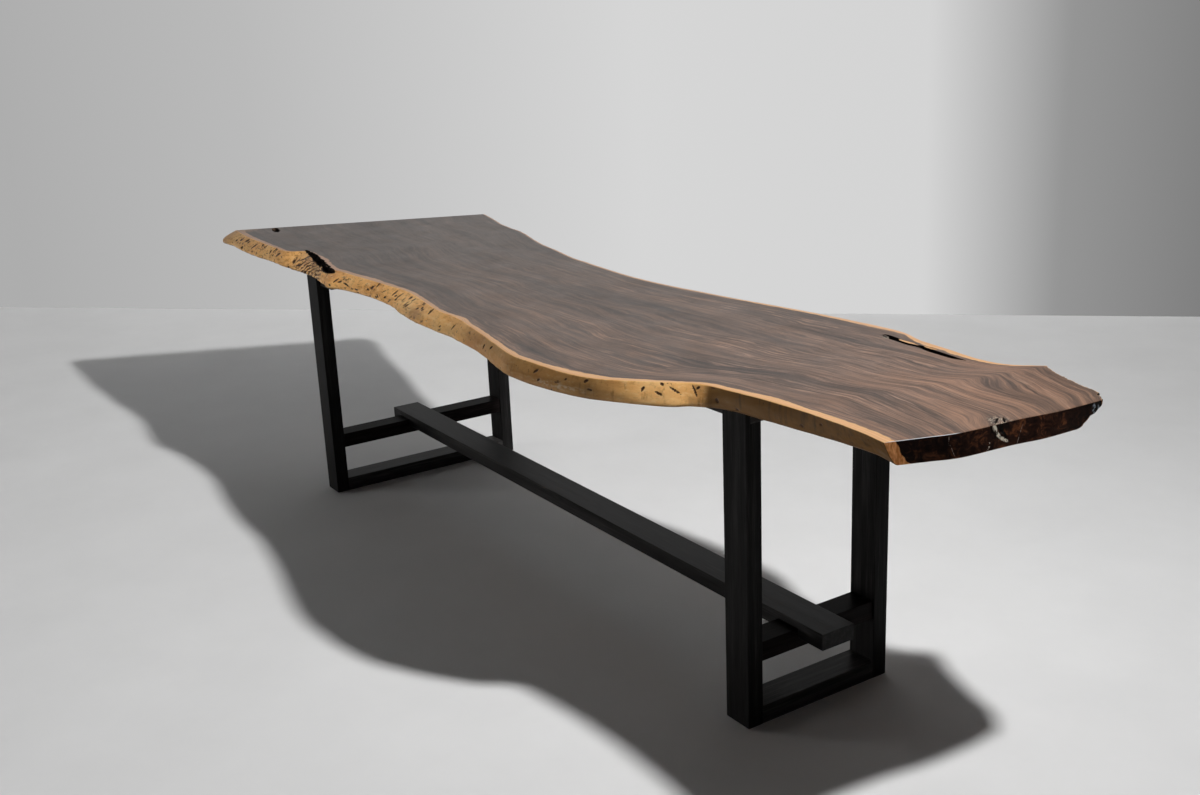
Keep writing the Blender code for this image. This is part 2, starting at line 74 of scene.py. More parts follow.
# How high these waves stand: the slow ones at the upper arris, and how much more at the lower
SLOW_SWELL = (0.0012, 0.0016)
QUICK_SWELL = 0.0016
FINE_SWELL = 0.0003
BARK_SWELL = 0.0040
BARK_SINK = 0.001

# Upper arris of each long side: x, y and how far the lower arris stands out from it
FRONT_EDGE = [
    (-1.768, -0.300, 0.060), (-1.700, -0.309, 0.033), (-1.600, -0.318, 0.033), (-1.430, -0.322, 0.029),
    (-1.300, -0.322, 0.022), (-1.230, -0.321, 0.025), (-1.195, -0.308, 0.040), (-1.170, -0.274, 0.073),
    (-1.120, -0.271, 0.074), (-1.064, -0.283, 0.057), (-0.968, -0.302, 0.036), (-0.874, -0.320, 0.026),
    (-0.800, -0.325, 0.037), (-0.760, -0.320, 0.049), (-0.690, -0.316, 0.028), (-0.525, -0.305, 0.021),
    (-0.370, -0.294, 0.040), (-0.300, -0.300, 0.050), (-0.213, -0.315, 0.047), (-0.068, -0.338, 0.031),
    (0.023, -0.338, 0.032), (0.160, -0.361, 0.017), (0.308, -0.390, 0.013), (0.438, -0.414, 0.016),
    (0.550, -0.411, 0.020), (0.660, -0.400, 0.008), (0.745, -0.368, 0.010), (0.850, -0.282, 0.027),
    (0.900, -0.240, 0.018), (0.981, -0.222, -0.005), (1.100, -0.207, -0.003), (1.240, -0.203, -0.015),
    (1.337, -0.208, -0.026), (1.403, -0.217, -0.022),
]
BACK_EDGE = [
    (-1.391, 0.517, 0.020), (-1.255, 0.483, 0.018), (-1.149, 0.453, 0.022), (-1.030, 0.432, 0.020),
    (-0.960, 0.424, 0.016), (-0.843, 0.391, 0.018), (-0.702, 0.352, 0.024), (-0.578, 0.330, 0.022),
    (-0.434, 0.301, 0.018), (-0.280, 0.286, 0.014), (-0.135, 0.273, 0.016), (0.000, 0.271, 0.018),
    (0.139, 0.281, 0.014), (0.360, 0.309, 0.010), (0.557, 0.340, 0.012), (0.713, 0.358, 0.008),
    (0.843, 0.367, 0.000), (0.900, 0.360, -0.006), (0.957, 0.341, -0.010), (1.053, 0.328, -0.012),
    (1.150, 0.316, -0.014), (1.215, 0.328, -0.018), (1.272, 0.377, -0.024),
]
NOSE_EDGE = [
    (1.272, 0.377, -0.024), (1.321, 0.348, -0.024), (1.401, 0.317, -0.030), (1.442, 0.306, -0.043),
    (1.466, 0.287, -0.050), (1.489, 0.265, -0.054),
]
# At its corner the nose keeps a lip at the top and is undercut below it: height share and share of the lean
NOSE_PROFILE = [
    (0.00, 0.00), (0.12, 0.01), (0.25, 0.06), (0.39, 0.17), (0.51, 0.33), (0.56, 0.57), (0.68, 0.65),
    (0.82, 0.76), (0.92, 0.87), (1.00, 1.00),
]
# Along the table, where the lip begins and where it is full
NOSE_LIP = (1.38, 1.47)
NOSE_START = NOSE_EDGE[0][0]
# The right end in plan, and the share of the slab's length that bends with it
RIGHT_END = [
    (1.403, -0.217), (1.428, -0.146), (1.451, -0.075), (1.466, 0.060), (1.482, 0.155), (1.489, 0.265),
]
END_BEND_SHARE = 0.15

# Width of the pale sapwood on the top, along each long side: x and width
FRONT_SAPWOOD = [
    (-1.77, 0.030), (-1.70, 0.020), (-1.35, 0.014), (-1.20, 0.008), (-1.10, 0.013), (-1.00, 0.030),
    (-0.90, 0.024), (-0.84, 0.020), (-0.73, 0.017), (-0.58, 0.024), (-0.40, 0.012), (0.00, 0.011),
    (0.05, 0.017), (0.10, 0.011), (0.30, 0.013), (0.46, 0.015), (0.53, 0.013), (0.68, 0.028), (0.80, 0.024),
    (0.90, 0.016), (1.07, 0.024), (1.17, 0.020), (1.40, 0.023),
]
BACK_SAPWOOD = [
    (-1.39, 0.004), (-0.60, 0.005), (-0.30, 0.008), (0.30, 0.009), (0.70, 0.014), (0.81, 0.017),
    (0.85, 0.015), (0.88, 0.0105), (0.903, 0.0085), (0.935, 0.0115), (0.967, 0.016), (0.99, 0.0185),
    (1.036, 0.017), (1.06, 0.016), (1.084, 0.020), (1.096, 0.018), (1.105, 0.015), (1.157, 0.014),
    (1.20, 0.012), (1.25, 0.010), (1.275, 0.0002), (1.49, 0.0002),
]
# How brown and dark each live edge is along its run, from pale gold at 0 to dark olive at 1: x and brownness
FRONT_BROWN = [
    (-1.77, 0.38), (-1.55, 0.28), (-1.40, 0.20), (-1.20, 0.20), (-1.10, 0.04), (-0.30, 0.00), (-0.10, 0.08),
    (-0.02, 0.17), (0.04, 0.24), (0.10, 0.22), (0.16, 0.46), (0.34, 0.56), (0.40, 0.50), (0.46, 0.68),
    (0.58, 0.71), (0.66, 0.68), (0.715, 0.73), (0.76, 0.45), (0.81, 0.00), (0.88, 0.00), (0.914, 0.15),
    (0.930, 0.85), (1.00, 0.96), (1.20, 1.00), (1.40, 1.00),
]
BACK_BROWN = [(-1.39, 0.30), (0.00, 0.35), (0.80, 0.60), (1.49, 0.80)]
# How thickly bark specks lie on the live edges: x and share
SPECKS = [
    (-1.77, 0.50), (-1.50, 0.80), (-1.35, 1.00), (-1.10, 1.00), (-0.95, 0.80), (-0.75, 0.70), (-0.22, 0.80),
    (-0.05, 0.45), (0.30, 0.25), (0.90, 0.18), (0.95, 0.05), (1.40, 0.03),
]

# Grid of the slab's skin: columns along it, rows round its section, and the cuts that refine the live edges
COLUMNS = 300
EDGE_ROWS = 6
FACE_ROWS = 36
EDGE_CUTS = 3
# How strongly the rows are drawn to the arrises, how near two points are welded, and the angle in degrees
# past which an edge is shaded sharp
ROW_DRAW = 0.5
WELD = 0.00002
SHARP_ANGLE = 38
# Grain coordinates across the top and down each live edge, and the most that the sapwood's share counts to
GRAIN_WIDTH = 0.75
GRAIN_DROP = 0.05
RIM_MOST = 9.0

# Voids: the drying crack right through the slab, the bark pocket and the notch in the left end
CRACK_RIM = [
    (0.866, 0.310), (0.871, 0.320), (0.893, 0.321), (0.914, 0.316), (0.925, 0.308), (0.955, 0.304),
    (0.980, 0.303), (0.986, 0.309), (0.997, 0.309), (1.006, 0.304), (1.024, 0.302), (1.042, 0.3005),
    (1.074, 0.296), (1.095, 0.293), (1.124, 0.289), (1.139, 0.287), (1.128, 0.2815), (1.107, 0.277),
    (1.0875, 0.2765), (1.055, 0.279), (1.0185, 0.286), (0.994, 0.290), (0.962, 0.291), (0.928, 0.294),
    (0.899, 0.299), (0.893, 0.308), (0.876, 0.312), (0.8735, 0.307),
]
# The crack's cutter: steps between the rim's points, how far it runs past both faces, its layers, and how
# ragged its walls are, in waves a metre and in metres along and across
CRACK_STEPS = 10
CRACK_PAST = 0.02
CRACK_LAYERS = 9
CRACK_WAVES = 38
CRACK_RAGGED = (0.003, 0.0022)
CRACK_SEED = 5
# Pale splintered strips along the crack's far side: along, across and height
CRACK_STRIPS = [
    [(0.915, 0.3125, 0.760), (0.950, 0.3085, 0.760), (0.983, 0.3065, 0.760)],
    [(0.999, 0.3085, 0.760), (1.019, 0.3070, 0.760), (1.040, 0.3050, 0.760)],
]
STRIP_HALF = (0.0048, 0.0009)
# Pale chip at the crack's hooked end: place, half sizes and turn in degrees
CHIP_HOLLOW = ((0.8875, 0.3020, TOP), (0.0080, 0.0052, 0.0030), (0, 0, -20))
# The pocket and the notch follow a line: along, across and height
POCKET_LINE = [
    (-1.190, -0.263, 0.760), (-1.120, -0.271, 0.759), (-1.064, -0.281, 0.757), (-0.985, -0.297, 0.755),
    (-0.905, -0.313, 0.752), (-0.835, -0.324, 0.750), (-0.755, -0.324, 0.750),
]
POCKET_HALF = (0.0125, 0.0150)
NOTCH_LINE = [(-1.706, -0.178, 0.760), (-1.655, -0.191, 0.760), (-1.606, -0.203, 0.760)]
NOTCH_HALF = (0.013, 0.020)
# Hollows that run into others: the pocket's blunt end, and five at the knot in the right end's arris, each
# with its place, half sizes and turn in degrees
LONE_HOLLOWS = [
    ((-0.832, -0.3285, 0.7525), (0.0580, 0.0130, 0.0105), (0, 0, 0)),
    ((1.4630, 0.0165, 0.7500), (0.0060, 0.0056, 0.0105), (25, 0, 0)),
    ((1.4605, -0.0060, 0.7530), (0.0045, 0.0020, 0.0090), (20, 0, 0)),
    ((1.4640, 0.0245, 0.7370), (0.0045, 0.0036, 0.0110), (33, 0, 0)),
    ((1.4470, 0.0210, 0.7600), (0.0170, 0.0026, 0.0060), (0, 0, 125)),
    ((1.4520, 0.0350, 0.7600), (0.0150, 0.0024, 0.0050), (0, 0, 136)),
]
# Roughness of the grooves: a share of their size, waves along them and seed, and for all of them the waves
# round them and the noise's increment, gap and octaves
POCKET_ROUGH = (0.55, 34, 2.0)
NOTCH_ROUGH = (0.35, 9, 7.0)
STRIP_ROUGH = (0.30, 12)
STRIP_SEED = 4.0
GROOVE_ROUND = 1.5
GROOVE_OCTAVES = (0.7, 2.1, 5)
# Roughness of the lumps: metres, waves a metre and seed, and for all of them the noise's increment, gap and
# octaves
CHIP_ROUGH = (0.0008, 150, 1.0)
LONE_ROUGH = (0.0014, 150)
LONE_SEED = 3.0
LUMP_OCTAVES = (0.7, 2.1, 4)
# Holes for the threaded inserts: room round and over them, and how far their cutters run out below
INSERT_ROOM = 0.0002
INSERT_HEADROOM = 0.0005
INSERT_PAST = 0.01
INSERT_SIDES = 24

# Eyes in the top's figure that the grain bows round, the first at the knot: x, y, reach and push, and how
# much longer than broad they all are
KNOT = (1.460, 0.014)
FIGURE_EYES = [
    (*KNOT, 0.085, 0.95), (1.016, 0.158, 0.040, 0.90), (0.300, 0.005, 0.050, 0.85),
    (0.526, 0.053, 0.034, 0.80), (1.300, 0.200, 0.060, 0.80), (-0.450, 0.080, 0.050, 0.70),
]
EYE_STRETCH = 1.7

# Arched ribs of burl under the bark pocket: their middle and pitch, how far they are drawn out along the
# edge, where they begin and end, how softly, where they die out to one side, and how high they stand
BURL = (-0.862, -0.345, 0.694)
BURL_PITCH = 0.0112
BURL_STRETCH = 2.2
BURL_REACH = (0.018, 0.125)
BURL_FADE = (0.008, 0.03)
BURL_SIDE = (-0.014, 0.010)
BURL_RISE = 0.0016

# Marks on the front live edge: x, share of the height, length, breadth and tilt in degrees
FRONT_MARKS = [
    (-1.475, 0.33, 0.030, 0.0080, 35), (-1.319, 0.30, 0.014, 0.0100, 70), (-1.106, 0.30, 0.030, 0.0070, 25),
    (-1.024, 0.65, 0.026, 0.0080, 75), (-0.803, 0.80, 0.012, 0.0043, 60), (-0.684, 0.55, 0.042, 0.0050, -12),
    (-0.622, 0.68, 0.026, 0.0050, -3), (-0.513, 0.10, 0.013, 0.0074, 60), (-0.492, 0.65, 0.019, 0.0050, -30),
    (-0.467, 0.33, 0.022, 0.0031, 25), (-0.406, 0.23, 0.017, 0.0074, 60), (-0.370, 0.28, 0.022, 0.0050, 45),
    (-0.414, 0.68, 0.024, 0.0037, 30), (-0.287, 0.40, 0.024, 0.0037, 40), (-0.113, 0.16, 0.016, 0.0087, 60),
    (0.047, 0.38, 0.016, 0.0060, 60), (0.268, 0.40, 0.014, 0.0080, 60), (0.553, 0.28, 0.016, 0.0060, 30),
    (0.570, 0.58, 0.012, 0.0060, 30), (0.719, 0.50, 0.014, 0.0050, -10), (0.837, 0.43, 0.019, 0.0050, -19),
    (0.864, 0.30, 0.032, 0.0040, -26), (0.897, 0.30, 0.029, 0.0040, -52), (0.900, 0.16, 0.010, 0.0050, 30),
    (0.949, 0.58, 0.011, 0.0080, -60), (0.997, 0.80, 0.008, 0.0060, 0), (-1.571, 0.65, 0.022, 0.0080, 15),
    (-1.567, 0.18, 0.026, 0.0090, 10), (-1.251, 0.28, 0.022, 0.0080, 20), (-1.169, 0.58, 0.024, 0.0080, -15),
    (-1.141, 0.43, 0.020, 0.0070, 10), (-1.082, 0.60, 0.024, 0.0080, 20), (-0.756, 0.75, 0.014, 0.0050, -20),
    (-0.719, 0.48, 0.019, 0.0056, 15), (-0.537, 0.30, 0.014, 0.0062, 40), (-0.559, 0.48, 0.016, 0.0050, -10),
    (-0.446, 0.58, 0.016, 0.0056, 20), (-0.294, 0.15, 0.017, 0.0062, 10), (-0.265, 0.15, 0.013, 0.0056, 30),
    (-0.201, 0.35, 0.013, 0.0043, 10), (-0.164, 0.28, 0.013, 0.0050, 25), (-0.020, 0.60, 0.009, 0.0043, 20),
    (0.318, 0.23, 0.012, 0.0070, 30), (0.709, 0.15, 0.012, 0.0060, 20), (0.811, 0.28, 0.010, 0.0060, 60),
    (1.171, 0.68, 0.010, 0.0070, 0), (1.224, 0.35, 0.009, 0.0060, 30),
]
# Seeded pits: from x, to x, count, and the longest pit there
FRONT_PIT_RUNS = [(-1.74, -1.30, 14, 0.020), (-1.30, -0.88, 20, 0.022), (-0.80, -0.12, 14, 0.016),
                  (-0.12, 0.95, 10, 0.009), (0.95, 1.38, 6, 0.006)]
BACK_PIT_RUNS = [(-1.36, -0.30, 50, 0.018), (-0.30, 0.90, 30, 0.012)]
PIT_SEED = 11
PIT_TILTS = (8, 25, -20, 60)
PIT_TILT_SPREAD = 18
# A seeded pit's length as a share of the longest, breadth as a share of the length, and share of the height
PIT_LENGTHS = (0.35, 1.0)
PIT_BREADTHS = (0.3, 0.6)
PIT_BROADEST = 0.007
PIT_HEIGHTS = (0.06, 0.94)
# Depth as a share of the breadth, how hollow a pit is, and where the stain round it begins to fade and ends
PIT_DEPTH = 0.32
PIT_HOLLOW = 0.7
PIT_STAIN = (0.55, 1.6)

# Camera at the photograph's place, for an image of 1200 by 795 pixels
CAMERA_PLACE = (2.98742, -1.81774, 1.53336)
CAMERA_AZIMUTH = 57.30
CAMERA_ELEVATION = 16.92
CAMERA_ROLL = -2.50
CAMERA_LENS = 40.04
CAMERA_SENSOR = 36.0

# A small key light over the near end, a broad low fill light from the front left, and the world's own light
KEY_PLACE = (1.85, 0.39, 2.48)
KEY_AIM = (0.2, -0.1, 0.4)
KEY_SIZE = 0.15
KEY_POWER = 11.0
FILL_PLACE = (-3.6, -4.0, 0.2)
FILL_AIM = (-0.3, 0.0, 0.6)
FILL_SIZE = 1.6
FILL_POWER = 6.8
WORLD_LIGHT = 0.025
WORLD_SHOWN = 0.11
FLOOR_TONE = 0.66
FLOOR_CLOUD = (0.97, 1.02)
FLOOR_REACH = 30.0
# The wall's foot, its turn in plan, its half sizes, and the painted light and shade it glows with for the
# camera and reflections, brightest in the middle and shadowed to the right: metres along it from the foot and
# brightness
WALL_FOOT = (-1.9, 2.29, 0.0)
WALL_TURN = 44.6
WALL_HALF = (9.0, 6.0)
WALL_PAINTED_LIGHT = [(-4.0, 0.42), (-2.6, 0.49), (-0.6, 0.67), (0.75, 0.66), (1.35, 0.30), (2.1, 0.20)]


def middle(node):
    """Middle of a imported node's box."""
    low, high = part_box(node)
    return (Vector(low) + Vector(high)) / 2


LEFT_MIDDLE = middle("left_bottom_rail")
RIGHT_MIDDLE = middle("right_bottom_rail")
ORIGIN = Vector(((LEFT_MIDDLE.x + RIGHT_MIDDLE.x) / 2, RIGHT_MIDDLE.y, 0.0))


def placed(point):
    """A point of the table's own sizes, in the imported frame."""
    return Vector(point) + ORIGIN


def plan_way(start, end):
    """Unit direction in plan from one point to another."""
    return Vector((end[0] - start[0], end[1] - start[1], 0.0)).normalized()


def smooth_step(value, low, high):
    """A share that rises smoothly from 0 at low to 1 at high."""
    share = min(max((value - low) / (high - low), 0.0), 1.0)
    return share * share * (3.0 - 2.0 * share)


def along_list(pairs, x):
    """Value at x on the straight lines between (x, value) pairs."""
    if x <= pairs[0][0]:
        return pairs[0][1]
    for (x0, v0), (x1, v1) in zip(pairs, pairs[1:]):
        if x <= x1:
            return v0 + (v1 - v0) * (x - x0) / (x1 - x0)
    return pairs[-1][1]


def smooth_run(points, steps=24):
    """Points along a smooth curve through the control points."""
    knots = [Vector(p) for p in points]
    ends = [2 * knots[0] - knots[1], *knots, 2 * knots[-1] - knots[-2]]
    run = []
    for before, start, end, after in zip(ends, ends[1:], ends[2:], ends[3:]):
        for step in range(steps):
            t = step / steps
            run.append(0.5 * (2 * start + (end - before) * t
                              + (2 * before - 5 * start + 4 * end - after) * t * t
                              + (3 * start - before - 3 * end + after) * t ** 3))
    return [*run, knots[-1]]


class Line:
    """A smooth plan line that is walked by the share of its length."""

    def __init__(self, *runs):
        self.knots = smooth_run(runs[0])
        for run in runs[1:]:
            self.knots += smooth_run(run)[1:]
        self.reach = [0.0]
        for a, b in zip(self.knots, self.knots[1:]):
            self.reach.append(self.reach[-1] + (b.to_2d() - a.to_2d()).length)
        self.length = self.reach[-1]

    def at(self, share):
        distance = min(max(share, 0.0), 1.0) * self.length
        after = min(bisect_right(self.reach, distance), len(self.reach) - 1)
        start = self.reach[after - 1]
        share_between = (distance - start) / (self.reach[after] - start)
        return self.knots[after - 1].lerp(self.knots[after], share_between)

    def heading(self, share, reach=0.01):
        """Unit direction in plan, over a distance each way."""
        step = reach / self.length
        return (self.at(share + step).to_2d() - self.at(share - step).to_2d()).normalized()

    def reach_of_x(self, x):
        """Length along the line where it passes x. Both long sides run from left to right."""
        passed = (reach for knot, reach in zip(self.knots, self.reach) if knot.x >= x)
        return next(passed, self.length)


class Pits:
    """Dark pits and bark dashes along one live edge."""

    BIN = 0.05

    def __init__(self):
        self.bins = {}

    def add(self, along, height, length, breadth, tilt):
        turn = math.radians(tilt)
        pit = (along, height, length / 2, breadth / 2, math.cos(turn), math.sin(turn))
        for place in range(int((along - length) / self.BIN), int((along + length) / self.BIN) + 1):
            self.bins.setdefault(place, []).append(pit)

    def scatter(self, line, runs, chance):
        for start, end, count, longest in runs:
            for _ in range(count):
                along = line.reach_of_x(chance.uniform(start, end))
                length = chance.uniform(*PIT_LENGTHS) * longest
                breadth = min(chance.uniform(*PIT_BREADTHS) * length, PIT_BROADEST)
                tilt = chance.choice(PIT_TILTS) + chance.gauss(0, PIT_TILT_SPREAD)
                self.add(along, chance.uniform(*PIT_HEIGHTS), length, breadth, tilt)

    def at(self, along, height):
        """Depth of the deepest pit at a place, and how dark the place is."""
        depth = 0.0
        dark = 0.0
        for pit in self.bins.get(int(along / self.BIN), ()):
            pit_along, pit_height, half_length, half_breadth, cosine, sine = pit
            ahead = along - pit_along
            above = (pit_height - height) * THICKNESS
            lengthwise = (ahead * cosine + above * sine) / half_length
            crosswise = (above * cosine - ahead * sine) / half_breadth
            far = math.hypot(lengthwise, crosswise)
            if far < PIT_STAIN[1]:
                depth = max(depth, half_breadth * 2 * PIT_DEPTH * max(0.0, 1 - far * far) ** PIT_HOLLOW)
                dark = max(dark, 1 - smooth_step(far, *PIT_STAIN))
        return depth, dark


def share_key(share):
    """A share of the length as a whole number, to look up what is kept for it."""
    return round(share * 1e6)


class LiveEdge:
    """One long side of the slab: its arrises, swells, ridges and pits."""

    def __init__(self, line, side, pits, brown, ends):
        self.line = line
        self.side = side
        self.pits = pits
        self.brown = brown
        self.ends = ends
        self.kept = {}

    def station(self, share):
        """Upper arris point with its lean, and the outward direction there."""
        key = share_key(share)
        if key not in self.kept:
            ahead = self.line.heading(share, LEAN_REACH[self.side])
            outward = Vector((-ahead.y, ahead.x, 0.0)) * self.side
            along = share * self.line.length
            for distance, way in zip((along, self.line.length - along), self.ends):
                outward = way.lerp(outward, smooth_step(distance, 0.0, END_TURN)).normalized()
            self.kept[key] = (self.line.at(share), outward)
        return self.kept[key]

    def waves(self, along, height, pattern):
        """Seeded noise at a place on the edge."""
        along_waves, height_waves, *octaves = pattern
        return noise.fractal((along * along_waves, height * height_waves, SIDE_SEED * self.side), *octaves)

    def relief(self, share, height):
        """How far the surface stands out from the plain edge, and how dark it is pitted."""
        along = share * self.line.length
        knot, _ = self.station(share)
        swell = self.waves(along, height, SLOW_WAVES) * (SLOW_SWELL[0] + SLOW_SWELL[1] * height)
        swell += self.waves(along, height, QUICK_WAVES) * QUICK_SWELL * along_list(SPECKS, knot.x)
        if self.side > 0 and knot.x > NOSE_START:
            return swell + BARK_SWELL * self.waves(along, height, BARK_WAVES) - BARK_SINK, 0.0
        depth, dark = self.pits.at(along, height)
        return swell + FINE_SWELL * self.waves(along, height, FINE_WAVES) - depth, dark

    def profile(self, knot, height):
        """How far the plain edge stands out from the upper arris at a share of the height."""
        share = height
        if self.side > 0 and knot.x > NOSE_LIP[0]:
            share += (along_list(NOSE_PROFILE, height) - height) * smooth_step(knot.x, *NOSE_LIP)
        out = knot.z * share + along_list(EDGE_BULGE, knot.x) * math.sin(math.pi * height)
        out -= arris_drop(height * THICKNESS, UPPER_ARRIS)
        return out - arris_drop((1 - height) * THICKNESS, along_list(LOWER_ARRIS, knot.x))

    def point(self, share, height, ease):
        """A plain point from the upper arris at height 0 to the lower at 1, its relief and its darkness."""
        knot, outward = self.station(share)
        relief, dark = self.relief(share, height)
        plain = Vector((knot.x, knot.y, TOP - ease - (THICKNESS - 2 * ease) * height))
        plain += outward * (self.profile(knot, height) - ease)
        if self.side < 0:
            relief += burl_ridges(plain)
        return plain, outward * relief, dark


def arris_drop(distance, radius):
    """How far a rounded arris falls back at a distance from the face it rounds into."""
    if distance >= radius:
        return 0.0
    return radius - math.sqrt(radius ** 2 - (radius - distance) ** 2)


def burl_ridges(plain):
    """How far the ribs stand out at a place on the front edge."""
    offset = plain - Vector(BURL)
    offset.x /= BURL_STRETCH
    far = offset.length
    share = smooth_step(far, BURL_REACH[0], BURL_REACH[0] + BURL_FADE[0])
    share *= 1 - smooth_step(far, BURL_REACH[1] - BURL_FADE[1], BURL_REACH[1])
    share *= 1 - smooth_step(offset.x, *BURL_SIDE)
    return BURL_RISE * math.sin(2 * math.pi * far / BURL_PITCH) * share


def row_spread(share):
    """Rows drawn closer together towards both arrises."""
    return share - ROW_DRAW * math.sin(2 * math.pi * share) / (2 * math.pi)


class Slab:
    """The slab's skin: a grid of columns along it and rows round its section."""

    ROWS = 2 * FACE_ROWS + 2 * EDGE_ROWS
    FRONT_FROM = FACE_ROWS // 2
    TOP_FROM = FRONT_FROM + EDGE_ROWS
    BACK_FROM = TOP_FROM + FACE_ROWS
    UNDER_FROM = BACK_FROM + EDGE_ROWS

    def __init__(self):
        chance = random.Random(PIT_SEED)
        front_line = Line(FRONT_EDGE)
        back_line = Line(BACK_EDGE, NOSE_EDGE)
        front_pits = Pits()
        for x, height, length, breadth, tilt in FRONT_MARKS:
            front_pits.add(front_line.reach_of_x(x), height, length, breadth, tilt)
        front_pits.scatter(front_line, FRONT_PIT_RUNS, chance)
        back_pits = Pits()
        back_pits.scatter(back_line, BACK_PIT_RUNS, chance)
        left = plan_way(BACK_EDGE[0], FRONT_EDGE[0])
        self.front = LiveEdge(front_line, -1, front_pits, FRONT_BROWN, (left, plan_way(*RIGHT_END[1::-1])))
        self.back = LiveEdge(back_line, 1, back_pits, BACK_BROWN, (-left, plan_way(*RIGHT_END[-2:])))
        self.end = Line([(x, y, 0.0) for x, y in RIGHT_END])
        self.length = (front_line.length + back_line.length) / 2
        self.chains = {}

    def share_along(self, column):
        """Share of the length at a column. The outermost few at each end make the eased arris."""
        eased = END_EASE / self.length
        if column < EASE_COLUMNS:
            return eased * (1 - math.cos(math.pi / 2 * column / EASE_COLUMNS))
        if column > COLUMNS - EASE_COLUMNS:
            return 1 - eased * (1 - math.cos(math.pi / 2 * (COLUMNS - column) / EASE_COLUMNS))
        return eased + (1 - 2 * eased) * (column - EASE_COLUMNS) / (COLUMNS - 2 * EASE_COLUMNS)

    def ease(self, share):
        """How far the faces fall back at a share of the length, at the sawn ends' eased arrises."""
        return arris_drop(min(share, 1 - share) * self.length, END_EASE)

    def end_bend(self, across, share):
        """The right end isn't straight in plan, and the last columns bend with it."""
        weight = smooth_step(share, 1 - END_BEND_SHARE, 1.0)
        if weight == 0.0:
            return Vector()
        chord = self.end.knots[0].lerp(self.end.knots[-1], across)
        bend = self.end.at(across) - chord
        return Vector((bend.x, bend.y, 0.0)) * weight

    def chain(self, share, height):
        """The front and back points of one level of a section, kept because whole rows share them."""
        key = (share_key(share), height)
        if key not in self.chains:
            ease = self.ease(share)
            self.chains[key] = (self.front.point(share, height, ease), self.back.point(share, height, ease))
        return self.chains[key]

    def level_point(self, share, across, height):
        """A point between the two long sides, at one level of the section, and its look."""
        (front, front_relief, front_dark), (back, back_relief, back_dark) = self.chain(share, height)
        width = (back - front).length
        place = front.lerp(back, across) + self.end_bend(across, share)
        place += front_relief * (1 - smooth_step(across * width, 0.0, RELIEF_FADE))
        place += back_relief * (1 - smooth_step((1 - across) * width, 0.0, RELIEF_FADE))
        from_front = across * width / along_list(FRONT_SAPWOOD, self.front.station(share)[0].x)
        from_back = (1 - across) * width / along_list(BACK_SAPWOOD, self.back.station(share)[0].x)
        dark = front_dark if across == 0 else back_dark if across == 1 else 0.0
        return place, min(from_front, from_back, RIM_MOST), dark

    def skin_point(self, column, row):
        """Place, grain coordinates and look of a grid vertex."""
        share = self.share_along(column)
        along = share * self.length
        if row < self.FRONT_FROM or row > self.UNDER_FROM:
            turn = (self.FRONT_FROM - row) if row < self.FRONT_FROM else (self.ROWS - row + self.FRONT_FROM)
            across = row_spread(turn / FACE_ROWS)
            place, rim, dark = self.level_point(share, across, 1.0)
            return place, (along, across * (GRAIN_WIDTH + 2 * GRAIN_DROP) - GRAIN_DROP, 0.0), (rim, dark, 0.0)
        if row <= self.TOP_FROM:
            height = row_spread((self.TOP_FROM - row) / EDGE_ROWS)
            return self.edge_look(self.front, share, along, height, -GRAIN_DROP * height)
        if row >= self.BACK_FROM:
            height = row_spread((row - self.BACK_FROM) / EDGE_ROWS)
            return self.edge_look(self.back, share, along, height, GRAIN_WIDTH + GRAIN_DROP * height)
        across = row_spread((row - self.TOP_FROM) / FACE_ROWS)
        place, rim, dark = self.level_point(share, across, 0.0)
        return place, (along, self.grain_across(place, across), 0.0), (rim, dark, 0.0)

    def edge_look(self, edge, share, along, height, grain):
        """Place, grain coordinates and look of a vertex on a live edge."""
        front, back = self.chain(share, height)
        plain, relief, dark = front if edge is self.front else back
        x = edge.station(share)[0].x
        return plain + relief, (along, grain, along_list(SPECKS, x)), (0.0, dark, along_list(edge.brown, x))

    def grain_across(self, place, across):
        """Grain position across the top, bowed round the knot and the eyes in the figure."""
        grain = across * GRAIN_WIDTH
        for x, y, reach, push in FIGURE_EYES:
            offset = place.to_2d() - Vector((x, y))
            near = math.exp(-((offset.x / (EYE_STRETCH * reach)) ** 2 + (offset.y / reach) ** 2))
            grain -= offset.y * push * near
        return grain


# The slab's materials, by their place in its list
FACE, EDGE, END, BARK = range(4)


def slab_mesh(slab):
    """The slab's closed skin, with its grain and look in UV maps."""
    bm = bmesh.new()
    spot = bm.verts.layers.float_vector.new("spot")
    look = bm.verts.layers.float_vector.new("look")
    made = bmesh.ops.create_grid(bm, x_segments=COLUMNS, y_segments=slab.ROWS, size=1.0)
    for vert in made["verts"]:
        vert.co.x = (vert.co.x + 1) / 2 * COLUMNS
        vert.co.y = (vert.co.y + 1) / 2 * slab.ROWS
    refine_live_edges(bm, slab)
    for face in bm.faces:
        face.material_index = skin_part(slab, face.calc_center_median())
    for vert in bm.verts:
        place, grain, shade = slab.skin_point(vert.co.x, vert.co.y)
        vert[spot] = grain
        vert[look] = shade
        vert.co = place + ORIGIN
    for share in (0.0, 1.0):
        add_end(bm, slab, share, spot, look)
    bmesh.ops.remove_doubles(bm, verts=bm.verts, dist=WELD)
    bmesh.ops.recalc_face_normals(bm, faces=bm.faces)
    write_maps(bm, spot, look)
    mesh = bpy.data.meshes.new("slab_surface")
    bm.to_mesh(mesh)
    bm.free()
    return mesh


